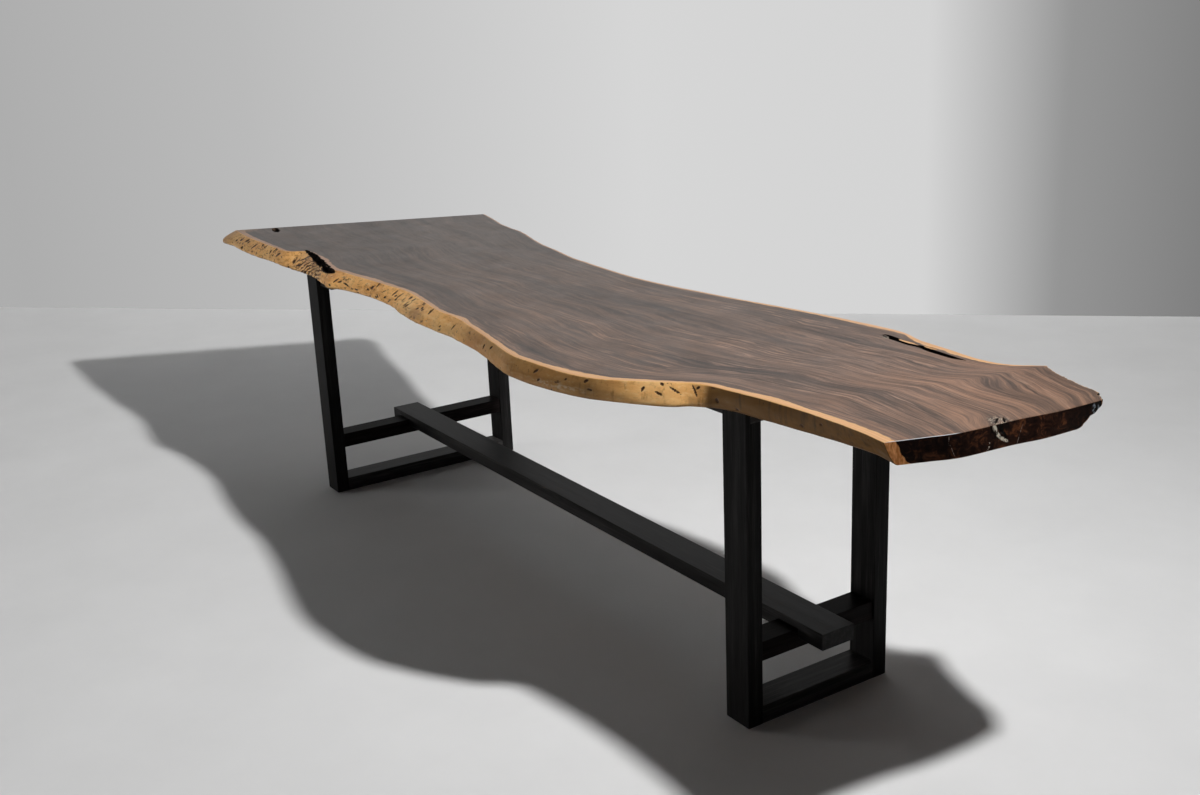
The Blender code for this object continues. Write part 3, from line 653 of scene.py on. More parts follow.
def refine_live_edges(bm, slab):
    """Cuts the two live edges' part of the grid finer than the flat faces."""
    def on_edge(vert):
        row = round(vert.co.y, 3)
        return slab.FRONT_FROM <= row <= slab.TOP_FROM, slab.BACK_FROM <= row <= slab.UNDER_FROM
    fine = []
    for edge in bm.edges:
        a, b = (on_edge(vert) for vert in edge.verts)
        if (a[0] and b[0]) or (a[1] and b[1]):
            fine.append(edge)
    bmesh.ops.subdivide_edges(bm, edges=fine, cuts=EDGE_CUTS, use_grid_fill=True)


def skin_part(slab, centre):
    """The material of a face of the skin, by its middle in columns and rows."""
    if slab.FRONT_FROM < centre.y < slab.TOP_FROM:
        return EDGE
    if slab.BACK_FROM < centre.y < slab.UNDER_FROM:
        knot, _ = slab.back.station(slab.share_along(centre.x))
        return BARK if knot.x > NOSE_START else EDGE
    return FACE


def add_end(bm, slab, share, spot, look):
    """One sawn end, between the two live edges."""
    levels = EDGE_ROWS * (EDGE_CUTS + 1)
    made = bmesh.ops.create_grid(bm, x_segments=FACE_ROWS, y_segments=levels, size=1.0)
    for vert in made["verts"]:
        for face in vert.link_faces:
            face.material_index = END
        across = row_spread((vert.co.x + 1) / 2)
        height = row_spread(round((vert.co.y + 1) / 2 * levels) / levels)
        place, rim, dark = slab.level_point(share, across, height)
        vert[spot] = (share * slab.length, across * GRAIN_WIDTH, 0.0)
        vert[look] = (rim, dark, 0.0)
        vert.co = place + ORIGIN


def write_maps(bm, spot, look):
    """UV maps: grain holds metres along and across, rim sapwood and pits, tone brownness and specks."""
    grain = bm.loops.layers.uv.new("grain")
    rim = bm.loops.layers.uv.new("rim")
    tone = bm.loops.layers.uv.new("tone")
    for face in bm.faces:
        face.smooth = True
        for loop in face.loops:
            loop[grain].uv = loop.vert[spot].xy
            loop[rim].uv = loop.vert[look].xy
            loop[tone].uv = (loop.vert[look].z, loop.vert[spot].z)
    bm.verts.layers.float_vector.remove(spot)
    # The other layer has moved, so it is looked up again
    bm.verts.layers.float_vector.remove(bm.verts.layers.float_vector["look"])


def roughen(verts, amount, scale, seed):
    """Moves points in and out from their own middle by seeded noise."""
    centre = sum((vert.co for vert in verts), Vector()) / len(verts)
    for vert in verts:
        away = (vert.co - centre).normalized()
        lump = noise.fractal(vert.co * scale + Vector((seed, 0, 0)), *LUMP_OCTAVES)
        vert.co += away * lump * amount


def add_blob(bm, place, half, turn, amount, scale, seed):
    """A rough closed lump, as a cutter for a natural hollow."""
    made = bmesh.ops.create_icosphere(bm, subdivisions=4, radius=1.0)["verts"]
    turned = Euler([math.radians(a) for a in turn]).to_matrix().to_4x4()
    shape = Matrix.Translation(placed(place)) @ turned @ Matrix.Diagonal((*half, 1.0))
    bmesh.ops.transform(bm, matrix=shape, verts=made)
    roughen(made, amount, scale, seed)


def add_groove(bm, line, half, amount, scale, seed):
    """A rough closed lump drawn out along a line: half its breadth, and half its depth."""
    run = Line(line)
    made = bmesh.ops.create_icosphere(bm, subdivisions=5, radius=1.0)["verts"]
    for vert in made:
        share = (vert.co.x + 1) / 2
        ahead = run.heading(share)
        aside = Vector((-ahead.y, ahead.x, 0.0))
        spot = (share * scale, vert.co.y * GROOVE_ROUND, vert.co.z + seed)
        lump = 1 + amount * noise.fractal(spot, *GROOVE_OCTAVES)
        offset = aside * vert.co.y * half[0] + Vector((0, 0, vert.co.z * half[1]))
        vert.co = placed(run.at(share)) + offset * lump


def add_crack(bm):
    """The drying crack's cutter: its rim drawn right through the slab, with ragged walls."""
    rim = smooth_run([(x, y, 0.0) for x, y in (*CRACK_RIM, CRACK_RIM[0])], CRACK_STEPS)[:-1]
    low = TOP - THICKNESS - CRACK_PAST
    ring = [bm.verts.new(placed((point.x, point.y, low))) for point in rim]
    face = bm.faces.new(ring)
    step = (THICKNESS + 2 * CRACK_PAST) / CRACK_LAYERS
    walls = list(ring)
    for layer in range(CRACK_LAYERS):
        lifted = bmesh.ops.extrude_face_region(bm, geom=[face])["geom"]
        rise = [part for part in lifted if isinstance(part, bmesh.types.BMVert)]
        bmesh.ops.translate(bm, verts=rise, vec=(0, 0, step))
        below = face
        face = next(part for part in lifted if isinstance(part, bmesh.types.BMFace))
        # The first face closes the cutter's foot, and the later ones would stay inside it
        if layer > 0:
            bmesh.ops.delete(bm, geom=[below], context="FACES_ONLY")
        walls += rise
    # Without a seed, noise_vector takes its offsets from the clock
    noise.seed_set(CRACK_SEED)
    for vert in walls:
        shift = noise.noise_vector(vert.co * CRACK_WAVES)
        vert.co.x += shift.x * CRACK_RAGGED[0]
        vert.co.y += shift.y * CRACK_RAGGED[1]


def add_insert_holes(bm):
    """The threaded inserts' holes in the underside."""
    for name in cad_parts:
        if "_insert_" not in name:
            continue
        low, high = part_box(name)
        centre = middle(name)
        radius = (high[0] - low[0]) / 2 + INSERT_ROOM
        foot = TOP - THICKNESS - INSERT_PAST
        depth = high[2] + INSERT_HEADROOM - foot
        place = Matrix.Translation((centre.x, centre.y, foot + depth / 2))
        bmesh.ops.create_cone(bm, cap_ends=True, segments=INSERT_SIDES, radius1=radius, radius2=radius,
                              depth=depth, matrix=place)


def cutter_mesh(fill):
    """A closed cutter made by a function that fills a bmesh."""
    bm = bmesh.new()
    fill(bm)
    bmesh.ops.recalc_face_normals(bm, faces=bm.faces)
    for face in bm.faces:
        face.smooth = True
    mesh = bpy.data.meshes.new("hollow")
    bm.to_mesh(mesh)
    bm.free()
    return mesh


def separate_hollows(bm):
    """The hollows that lie apart from each other."""
    add_crack(bm)
    add_groove(bm, POCKET_LINE, POCKET_HALF, *POCKET_ROUGH)
    add_groove(bm, NOTCH_LINE, NOTCH_HALF, *NOTCH_ROUGH)
    add_insert_holes(bm)


def lone_hollow(number):
    """A function that fills a bmesh with one of the hollows that run into others."""
    return lambda bm: add_blob(bm, *LONE_HOLLOWS[number], *LONE_ROUGH, LONE_SEED * number)


def crack_strips(bm):
    """Shallow splintered strips beside the crack, and the pale chip at its hooked end."""
    for number, line in enumerate(CRACK_STRIPS):
        add_groove(bm, line, STRIP_HALF, *STRIP_ROUGH, STRIP_SEED * number)
    add_blob(bm, *CHIP_HOLLOW, *CHIP_ROUGH)


def cut_hollow(slab, fill):
    """Cuts one set of hollows into the slab for good."""
    cutter = bpy.data.objects.new("hollow", cutter_mesh(fill))
    bpy.context.collection.objects.link(cutter)
    cutter.data.materials.append(slab.data.materials[BARK])
    cut = slab.modifiers.new("hollow", "BOOLEAN")
    cut.operation = "DIFFERENCE"
    cut.object = cutter
    cut.solver = "MANIFOLD"
    cut.material_mode = "TRANSFER"
    bpy.context.view_layer.update()
    worked = bpy.data.meshes.new_from_object(slab.evaluated_get(bpy.context.evaluated_depsgraph_get()))
    slab.modifiers.clear()
    slab.data = worked
    bpy.data.objects.remove(cutter)


# Between these values lies most of a noise that runs from 0 to 1
NOISE_SPAN = (0.25, 0.75)


class Finish:
    """A procedural finish: one Principled shader and the nodes that feed it."""

    def __init__(self, name, roughness=0.5, specular=0.5, metallic=0.0):
        self.material = bpy.data.materials.new(name)
        self.material.use_nodes = True
        self.nodes = self.material.node_tree.nodes
        self.links = self.material.node_tree.links
        self.shader = self.nodes["Principled BSDF"]
        self.shader.inputs["Roughness"].default_value = roughness
        self.shader.inputs["Specular IOR Level"].default_value = specular
        self.shader.inputs["Metallic"].default_value = metallic

    def feed(self, socket, value):
        if isinstance(value, bpy.types.NodeSocket):
            self.links.new(value, socket)
        else:
            socket.default_value = value

    def node(self, kind, inputs=(), **settings):
        made = self.nodes.new(kind)
        for key, value in settings.items():
            setattr(made, key, value)
        for place, value in dict(inputs).items():
            self.feed(made.inputs[place], value)
        return made

    def math(self, operation, a, b=0.0, clamp=False):
        return self.node("ShaderNodeMath", {0: a, 1: b}, operation=operation, use_clamp=clamp).outputs[0]

    def times(self, *factors):
        """Product of values."""
        total = factors[0]
        for factor in factors[1:]:
            total = self.math("MULTIPLY", total, factor)
        return total

    def object_place(self):
        return self.node("ShaderNodeTexCoord").outputs["Object"]

    def uv(self, name):
        return self.node("ShaderNodeUVMap", uv_map=name).outputs[0]

    def split(self, vector):
        return self.node("ShaderNodeSeparateXYZ", {0: vector}).outputs

    def join(self, x, y, z=0.0):
        return self.node("ShaderNodeCombineXYZ", {0: x, 1: y, 2: z}).outputs[0]

    def noise(self, vector, stretch, detail=3.0, rough=0.5, distortion=0.0, shift=(0, 0, 0)):
        """Noise value from 0 to 1, with the pattern's own count per metre along each axis."""
        spread = self.node("ShaderNodeMapping", {"Vector": vector, "Location": shift, "Scale": stretch})
        inputs = {"Vector": spread.outputs[0], "Scale": 1.0, "Detail": detail, "Roughness": rough,
                  "Distortion": distortion}
        return self.node("ShaderNodeTexNoise", inputs).outputs[0]

    def ramp(self, factor, stops):
        made = self.node("ShaderNodeValToRGB", {0: factor})
        elements = made.color_ramp.elements
        while len(elements) < len(stops):
            elements.new(0.5)
        for element, (place, colour) in zip(elements, stops):
            element.position = place
            element.color = (*colour, 1.0)
        return made.outputs[0]

    def step(self, value, low, high):
        """A soft step from 0 at low to 1 at high."""
        inputs = {"Value": value, "From Min": low, "From Max": high}
        return self.node("ShaderNodeMapRange", inputs, interpolation_type="SMOOTHSTEP").outputs[0]

    def span(self, value, low, high):
        """Noise mapped to a range, from the values between which most of it lies."""
        start, end = NOISE_SPAN
        inputs = {"Value": value, "From Min": start, "From Max": end, "To Min": low, "To Max": high}
        return self.node("ShaderNodeMapRange", inputs).outputs[0]

    def mix(self, factor, a, b, blend="MIX"):
        made = self.node("ShaderNodeMix", data_type="RGBA", blend_type=blend)
        for place, value in ((0, factor), (6, a), (7, b)):
            if isinstance(value, tuple):
                value = (*value, 1.0)
            self.feed(made.inputs[place], value)
        return made.outputs[2]

    def lay(self, colour, over, *shares):
        """A colour with another laid over it, as strongly as the shares' product."""
        return self.mix(self.times(*shares), colour, over)

    def local(self, vector, centre, sizes=(1, 1, 1), turn=(0, 0, 0)):
        """Coordinates that start at a place, with its sizes as units and its turn in degrees."""
        turned = tuple(math.radians(angle) for angle in turn)
        inputs = {"Vector": vector, "Location": placed(centre), "Rotation": turned, "Scale": sizes}
        return self.node("ShaderNodeMapping", inputs, vector_type="TEXTURE").outputs[0]

    def length(self, vector):
        return self.node("ShaderNodeVectorMath", {0: vector}, operation="LENGTH").outputs["Value"]

    def patch(self, vector, centre, half, turn, softness):
        """A soft patch at a place: 1 inside, 0 outside."""
        far = self.length(self.local(vector, centre, half, turn))
        return self.step(far, 1.0 + softness, 1.0 - softness)

    def colour(self, value):
        self.feed(self.shader.inputs["Base Color"], (*value, 1.0) if isinstance(value, tuple) else value)

    def roughness(self, value):
        self.feed(self.shader.inputs["Roughness"], value)

    def bump(self, height, distance, strength=1.0):
        made = self.node("ShaderNodeBump", {"Height": height, "Distance": distance, "Strength": strength})
        self.feed(self.shader.inputs["Normal"], made.outputs[0])


# Along the table, where the far end's tones begin to give way to the near end's, and where those are full
FAR_TO_NEAR = (-1.1, 1.5)
# Tones of the top: a dark and a pale line of sapwood's grain, and heartwood's places on a ramp with colours
SAPWOOD_FAR = ((0.42, 0.240, 0.150), (0.55, 0.335, 0.215))
SAPWOOD_NEAR = ((0.72, 0.390, 0.170), (0.86, 0.500, 0.240))
HEARTWOOD_FAR = [
    (0.36, (0.030, 0.023, 0.020)), (0.44, (0.062, 0.047, 0.040)), (0.50, (0.100, 0.074, 0.060)),
    (0.57, (0.155, 0.110, 0.086)), (0.66, (0.235, 0.158, 0.118)),
]
HEARTWOOD_NEAR = [
    (0.37, (0.026, 0.018, 0.014)), (0.44, (0.068, 0.045, 0.034)), (0.50, (0.140, 0.090, 0.066)),
    (0.56, (0.230, 0.145, 0.104)), (0.64, (0.345, 0.215, 0.150)),
]
HEARTWOOD_MEAN = (0.105, 0.078, 0.064)
# What the heartwood's colour is multiplied by, from the far end at 0 to the near end at 1
HEARTWOOD_TINT = [(0.0, (1.00, 1.00, 1.00)), (0.5, (0.94, 0.89, 0.84)), (0.94, (0.84, 0.79, 0.74)),
                  (1.0, (1.38, 1.20, 1.04))]
WISP = (0.460, 0.275, 0.185)
PORE = (0.022, 0.017, 0.015)
PALE = (0.58, 0.50, 0.39)
IVORY = (0.80, 0.72, 0.58)
WEATHERED = (0.36, 0.225, 0.135)
# Painted highlight for the glint on the right end's upper arris
PAINTED_GLINT = (0.72, 0.74, 0.78)
PITCH_BLACK = (0.010, 0.008, 0.007)
# Live edge
GOLD = [(0.30, (0.66, 0.310, 0.095)), (0.50, (0.88, 0.475, 0.165)), (0.70, (0.96, 0.600, 0.255))]
GOLD_STREAK = (0.46, 0.220, 0.065)
GOLD_DEEP = (0.30, 0.130, 0.038)
GOLD_LIGHT = (0.96, 0.660, 0.330)
OLIVE = [(0.32, (0.056, 0.026, 0.007)), (0.66, (0.145, 0.072, 0.021))]
OLIVE_STREAK = (0.055, 0.032, 0.014)
BURL_CREST_HIGHLIGHT = (0.96, 0.680, 0.380)
BURL_GROOVE_SHADE = (0.090, 0.038, 0.013)
BURL_STAIN = (0.110, 0.050, 0.020)
SMUDGE = (0.120, 0.090, 0.065)
DASH = (0.105, 0.052, 0.022)
LOWER_SHADE = (0.090, 0.046, 0.018)
PIT = (0.062, 0.030, 0.014)
# Sawn ends, bark and hollows
END_GRAIN = [
    (0.36, (0.0100, 0.0046, 0.0034)), (0.52, (0.0300, 0.0120, 0.0074)), (0.68, (0.1600, 0.0560, 0.0220)),
]
SAPWOOD_END = ((0.50, 0.180, 0.052), (0.86, 0.400, 0.150))
GLINT = (0.34, 0.38, 0.43)
END_CRACK_GLINT = (0.26, 0.20, 0.17)
BARK_TONES = [
    (0.38, (0.005, 0.004, 0.0035)), (0.58, (0.020, 0.012, 0.008)), (0.74, (0.085, 0.048, 0.026)),
]
SPLINTER = ((0.40, 0.210, 0.095), (0.82, 0.500, 0.260))
# Ebonised timber's tones, its tint, the ways its members run, and its waves of grain a metre along and across
EBONY = [(0.36, 0.0070), (0.52, 0.0160), (0.66, 0.0340)]
EBONY_TINT = (1.0, 0.95, 0.93)
ALONG, ACROSS, UPRIGHT = range(3)
LONG_GRAIN = 3
CROSS_GRAIN = 75
# Tenons and fixings
BEECH = [(0.35, (0.42, 0.24, 0.12)), (0.65, (0.60, 0.38, 0.21))]
ZINC = [(0.35, (0.42, 0.43, 0.45)), (0.65, (0.62, 0.63, 0.65))]
BRASS = [(0.35, (0.52, 0.36, 0.13)), (0.65, (0.74, 0.54, 0.24))]

# Patches of another look: place, half sizes, turn in degrees and softness
KNOT_PATCH = ((1.449, 0.026, TOP), (0.024, 0.020, 0.01), (0, 0, 130), 0.5)
CORNER_PATCH = ((-1.775, -0.290, TOP), (0.070, 0.060, 0.05), (0, 0, 0), 0.6)
ARRIS_GLINT_PATCH = ((1.428, -0.146, TOP), (0.06, 0.070, 0.02), (0, 0, 0), 0.15)
STAIN_PATCH = ((-0.945, -0.318, 0.741), (0.090, 0.030, 0.010), (0, 8, 0), 0.8)
SMUDGE_PATCH = ((-0.19, -0.345, 0.733), (0.055, 0.030, 0.012), (0, 0, -8), 0.7)
CREASE_SHEEN_PATCH = ((0.635, -0.410, 0.731), (0.065, 0.030, 0.006), (0, 0, 4), 0.8)
TIP_PATCH = ((-1.790, -0.330, 0.740), (0.060, 0.060, 0.05), (0, 0, 0), 0.6)
LIP_PATCH = ((1.488, 0.2520, 0.7460), (0.03, 0.0140, 0.0150), (35, 0, 0), 0.3)
GLINT_PATCH = ((1.488, 0.2490, 0.7440), (0.03, 0.0085, 0.0130), (35, 0, 0), 0.3)
CHIP_PATCH = ((0.8885, 0.3022, TOP), (0.0075, 0.0050, 0.004), (0, 0, 0), 0.3)
# How far a splintered strip's patch runs past its ends, and its half breadth, half depth and softness
STRIP_PAST = 0.002
STRIP_PATCH = (0.0050, 0.0013)
STRIP_SOFTNESS = 0.1
STREAK_SOFTNESS = 0.3
# Painted highlight on the right end's upper arris, where the key light glints: how far in from the end it
# begins, and where it is full
ARRIS_GLINT_REACH = (0.0012, 0.0007)
# Across the right end, where its figure comes out of the shade and sinks back, and how dark the shade is
END_LIT_FROM = (-0.25, 0.05)
END_LIT_TO = (0.20, 0.08)
END_SHADE = 0.30


def wavy_grain(finish):
    """Grain coordinates with the fibres' own waviness."""
    u, v, _ = finish.split(finish.uv("grain"))
    plain = finish.join(u, v)
    slow = finish.span(finish.noise(plain, (2.0, 4.5, 1), 2.0), -0.020, 0.020)
    quick = finish.span(finish.noise(plain, (6.0, 11.0, 1), 3.0, shift=(3, 1, 0)), -0.009, 0.009)
    return finish.join(u, finish.math("ADD", v, finish.math("ADD", slow, quick)))


def weigh(finish, *parts):
    """Weighted sum of (value, weight) pairs."""
    total = 0.0
    for value, weight in parts:
        total = finish.math("ADD", finish.times(value, weight), total)
    return total


def nearness(finish):
    """0 at the wide far end of the table, 1 at the narrow near end."""
    x, _, _ = finish.split(finish.object_place())
    return finish.step(x, *FAR_TO_NEAR)


def heartwood(finish, grain):
    """Grey-brown heartwood with fine dark streaks and pinkish tan wisps, and its pores."""
    broad = finish.noise(grain, (0.9, 15, 1), 4.0, 0.6)
    streak = finish.noise(grain, (4.0, 96, 1), 5.0, 0.65, 0.35, shift=(7, 2, 0))
    fine = finish.noise(grain, (16, 420, 1), 3.0, 0.6, shift=(1, 9, 0))
    tone = weigh(finish, (broad, 0.40), (streak, 0.36), (fine, 0.24))
    near = nearness(finish)
    calm = finish.mix(0.25, finish.ramp(tone, HEARTWOOD_FAR), HEARTWOOD_MEAN)
    colour = finish.mix(near, calm, finish.ramp(tone, HEARTWOOD_NEAR))
    colour = finish.mix(1.0, colour, finish.ramp(near, HEARTWOOD_TINT), "MULTIPLY")
    wisps = finish.step(finish.noise(grain, (8, 135, 1), 4.0, 0.6, 0.4, shift=(5, 3, 0)), 0.50, 0.66)
    bands = finish.step(finish.noise(grain, (1.4, 14, 1), 2.0, shift=(8, 8, 0)), 0.42, 0.62)
    colour = finish.lay(colour, WISP, wisps, bands, near, 0.70)
    pores = finish.step(finish.noise(grain, (34, 900, 1), 2.0, 0.5, shift=(4, 4, 0)), 0.60, 0.72)
    return finish.lay(colour, PORE, pores, 0.45), pores


def slab_face_finish(length):
    """Oiled faces: heartwood inside, a crisp pale sapwood rim along the live edges."""
    finish = Finish("slab_face", specular=0.4)
    place = finish.object_place()
    grain = wavy_grain(finish)
    wood, pores = heartwood(finish, grain)
    rim, _, _ = finish.split(finish.uv("rim"))
    waver = finish.span(finish.noise(grain, (22, 30, 1), 3.0, 0.6), -0.20, 0.20)
    inside = finish.step(finish.math("ADD", rim, waver), 0.94, 1.08)
    lines = finish.noise(grain, (5, 420, 1), 3.0, 0.6)
    light = finish.step(lines, 0.35, 0.7)
    far, near = (finish.mix(light, *pair) for pair in (SAPWOOD_FAR, SAPWOOD_NEAR))
    sap = finish.mix(nearness(finish), far, near)
    colour = finish.mix(inside, sap, wood)
    flecks = finish.noise(place, (260, 260, 260), 2.0, 0.5)
    around = finish.patch(place, *KNOT_PATCH)
    colour = finish.lay(colour, PALE, around, finish.step(flecks, 0.56, 0.60))
    colour = finish.lay(colour, PITCH_BLACK, around, finish.step(flecks, 0.44, 0.40))
    colour = finish.lay(colour, WEATHERED, finish.patch(place, *CORNER_PATCH), 0.8)
    # Painted highlight: a pale glint along the front half of the right end's upper arris
    along, _, _ = finish.split(finish.uv("grain"))
    arris = finish.step(along, length - ARRIS_GLINT_REACH[0], length - ARRIS_GLINT_REACH[1])
    finish.colour(finish.lay(colour, PAINTED_GLINT, arris, finish.patch(place, *ARRIS_GLINT_PATCH)))
    worn = finish.noise(place, (9, 9, 9), 3.0, 0.6)
    finish.roughness(finish.span(worn, 0.36, 0.46))
    height = finish.math("SUBTRACT", finish.times(lines, 0.4), pores)
    finish.bump(height, 0.00025, 0.5)
    return finish.material


def specks(finish, turn, length, breadth, chance):
    """Short dark dashes scattered over an edge, all along one direction."""
    u, v, _ = finish.split(finish.uv("grain"))
    cosine = math.cos(math.radians(turn))
    sine = math.sin(math.radians(turn))
    plain = finish.join(u, v)
    wave = finish.span(finish.noise(plain, (120, 120, 1), 2.0, shift=(turn, 0, 0)), -0.0045, 0.0045)
    ahead = finish.math("ADD", weigh(finish, (u, cosine), (v, sine)), wave)
    aside = finish.math("ADD", weigh(finish, (u, -sine), (v, cosine)), wave)
    cells = finish.join(finish.math("DIVIDE", ahead, length), finish.math("DIVIDE", aside, breadth))
    inputs = {"Vector": cells, "Scale": 1.0}
    spots = finish.node("ShaderNodeTexVoronoi", inputs, voronoi_dimensions="2D").outputs
    kept, size, _ = finish.split(spots["Color"])
    far = finish.math("DIVIDE", spots["Distance"], finish.span(size, 0.16, 0.42))
    return finish.times(finish.step(far, 1.0, 0.6), finish.math("LESS_THAN", kept, chance))


def burl_ribs(finish, place, colour):
    """Pale crests and dark grooves of the burl under the bark pocket: painted highlight and shade on the
    ribs.
    """
    local = finish.local(place, BURL, (BURL_STRETCH, 1.0, 1.0))
    far = finish.length(local)
    aside, _, _ = finish.split(local)
    begun = finish.step(far, BURL_REACH[0], BURL_REACH[0] + BURL_FADE[0])
    unended = finish.step(far, BURL_REACH[1], BURL_REACH[1] - BURL_FADE[1])
    beside = finish.step(aside, BURL_SIDE[1], BURL_SIDE[0])
    broken = finish.step(finish.noise(place, (26, 50, 50), 2.0, shift=(3, 3, 3)), 0.26, 0.42)
    share = finish.times(begun, unended, beside, broken)
    bent = finish.math("ADD", far, finish.span(finish.noise(place, (30, 60, 60), 2.0), -0.0060, 0.0060))
    wave = finish.math("SINE", finish.times(bent, 2 * math.pi / BURL_PITCH))
    # Painted highlight on the ribs' crests, and painted shade in their grooves
    colour = finish.lay(colour, BURL_CREST_HIGHLIGHT, finish.step(wave, 0.3, 0.9), share, 0.6)
    colour = finish.lay(colour, BURL_GROOVE_SHADE, finish.step(wave, 0.2, -0.5), share)
    return finish.lay(colour, BURL_STAIN, finish.patch(place, *STAIN_PATCH), 0.55)


def live_edge_finish():
    """Sanded live edge: golden sapwood with dashes and pits, browner towards the narrow end."""
    finish = Finish("live_edge", specular=0.2)
    place = finish.object_place()
    cloud = finish.noise(place, (7, 7, 16), 4.0, 0.6)
    upright = finish.noise(place, (110, 110, 9), 3.0, 0.6)
    gold = finish.lay(finish.ramp(cloud, GOLD), GOLD_STREAK, finish.step(upright, 0.56, 0.82))
    gold = burl_ribs(finish, place, gold)
    brown, density, _ = finish.split(finish.uv("tone"))
    mottle = finish.noise(place, (52, 80, 150), 4.0, 0.65)
    thickly = weigh(finish, (density, 0.55), (1.0, 0.12))
    gold = finish.lay(gold, GOLD_DEEP, finish.step(mottle, 0.52, 0.66), thickly)
    gold = finish.lay(gold, GOLD_LIGHT, finish.step(mottle, 0.46, 0.34), 0.5)
    olive = finish.lay(finish.ramp(cloud, OLIVE), OLIVE_STREAK, finish.step(upright, 0.45, 0.75))
    tone = finish.math("ADD", brown, finish.span(cloud, -0.10, 0.10), clamp=True)
    colour = finish.mix(tone, gold, olive)
    colour = finish.lay(colour, SMUDGE, finish.patch(place, *SMUDGE_PATCH), 0.45)
    # Pale specks and a painted highlight where the front edge turns at its crease
    specks_and_sheen = finish.step(finish.noise(place, (60, 60, 180), 3.0, 0.6), 0.45, 0.62)
    colour = finish.lay(colour, PALE, finish.patch(place, *CREASE_SHEEN_PATCH), specks_and_sheen, 0.5)
    _, dark, _ = finish.split(finish.uv("rim"))
    ragged = finish.span(finish.noise(place, (260, 260, 260), 3.0, 0.6), -0.30, 0.30)
    pitted = finish.step(finish.math("ADD", dark, ragged), 0.40, 0.72)
    rising = specks(finish, 18, 0.024, 0.0085, finish.times(density, 0.10))
    falling = specks(finish, -24, 0.022, 0.0080, finish.times(density, 0.08))
    spots = finish.noise(place, (60, 85, 150), 3.0, 0.6, 0.8)
    cluster = finish.noise(place, (11, 14, 30), 2.0)
    flecks = finish.step(weigh(finish, (spots, 1.0), (cluster, 0.30), (density, 0.20)), 0.93, 0.99)
    dashes = finish.math("MAXIMUM", finish.math("MAXIMUM", rising, falling), flecks)
    colour = finish.lay(colour, WEATHERED, finish.patch(place, *TIP_PATCH), 0.6)
    colour = finish.lay(colour, DASH, dashes, 0.85)
    _, drop, _ = finish.split(finish.uv("grain"))
    lowest = finish.step(drop, -0.80 * GRAIN_DROP, -GRAIN_DROP)
    colour = finish.lay(colour, LOWER_SHADE, lowest, 0.65)
    finish.colour(finish.lay(colour, PIT, pitted))
    finish.roughness(finish.span(cloud, 0.36, 0.50))
    pits = finish.math("MAXIMUM", pitted, dashes)
    finish.bump(finish.math("SUBTRACT", finish.times(upright, 0.4), pits), 0.0006, 0.6)
    return finish.material


# Pale streaks at the knot in the right end, and painted glints along fine cracks in that end: place, half
# sizes and tilt
KNOT_STREAKS = [
    ((1.459, 0.0020, 0.7525), (0.03, 0.0042, 0.0090), 22),
    ((1.460, 0.0093, 0.7397), (0.03, 0.0036, 0.0090), 37),
    ((1.462, 0.0222, 0.7290), (0.03, 0.0034, 0.0112), 61),
    ((1.458, -0.0122, 0.7285), (0.02, 0.0016, 0.0013), 0),
    ((1.458, -0.0130, 0.7215), (0.02, 0.0017, 0.0011), 0),
]
END_MARKS = [
    ((1.466, 0.0600, 0.7312), (0.02, 0.0006, 0.0190), -25),
    ((1.458, -0.0165, 0.7175), (0.02, 0.0007, 0.0080), -54),
    ((1.4435, -0.0998, 0.7480), (0.02, 0.0008, 0.0080), 0),
    ((1.446, -0.0945, 0.7305), (0.02, 0.0007, 0.0130), 20),
]


def pale_streaks(finish, place, marks, colour, pale=IVORY):
    """Lays pale streaks over a colour."""
    flecks = finish.step(finish.noise(place, (300, 300, 150), 3.0, 0.6), 0.42, 0.52)
    for centre, half, tilt in marks:
        streak = finish.patch(place, centre, half, (tilt, 0, 0), STREAK_SOFTNESS)
        colour = finish.lay(colour, pale, streak, flecks)
    return colour


def end_grain_finish():
    """Sawn and oiled ends: near-black heartwood, a sapwood strip, pale streaks by the knot."""
    finish = Finish("end_grain", specular=0.06)
    place = finish.object_place()
    figure = finish.noise(place, (14, 44, 52), 4.0, 0.65, 1.0)
    _, y, _ = finish.split(place)
    lit = finish.times(finish.step(y, *END_LIT_FROM), finish.step(y, *END_LIT_TO), 1 - END_SHADE)
    shade = finish.math("ADD", lit, END_SHADE)
    colour = finish.mix(1.0, finish.ramp(figure, END_GRAIN), finish.join(shade, shade, shade), "MULTIPLY")
    rim, _, _ = finish.split(finish.uv("rim"))
    rays = finish.noise(place, (60, 190, 60), 3.0, 0.6)
    sap = finish.mix(finish.step(rays, 0.35, 0.68), *SAPWOOD_END)
    waver = finish.span(finish.noise(place, (50, 50, 50), 2.0), -0.15, 0.15)
    colour = finish.mix(finish.step(finish.math("ADD", rim, waver), 0.95, 1.08), sap, colour)
    colour = finish.lay(colour, PITCH_BLACK, finish.patch(place, *LIP_PATCH))
    glint = finish.step(finish.noise(place, (150, 150, 110), 3.0, 0.6, shift=(4, 1, 2)), 0.52, 0.60)
    colour = finish.lay(colour, GLINT, finish.patch(place, *GLINT_PATCH), glint)
    # Painted glints along the right end's fine cracks
    colour = pale_streaks(finish, place, END_MARKS, colour, END_CRACK_GLINT)
    finish.colour(pale_streaks(finish, place, KNOT_STREAKS, colour))
    finish.roughness(finish.span(figure, 0.42, 0.56))
    finish.bump(rays, 0.0003, 0.5)
    return finish.material


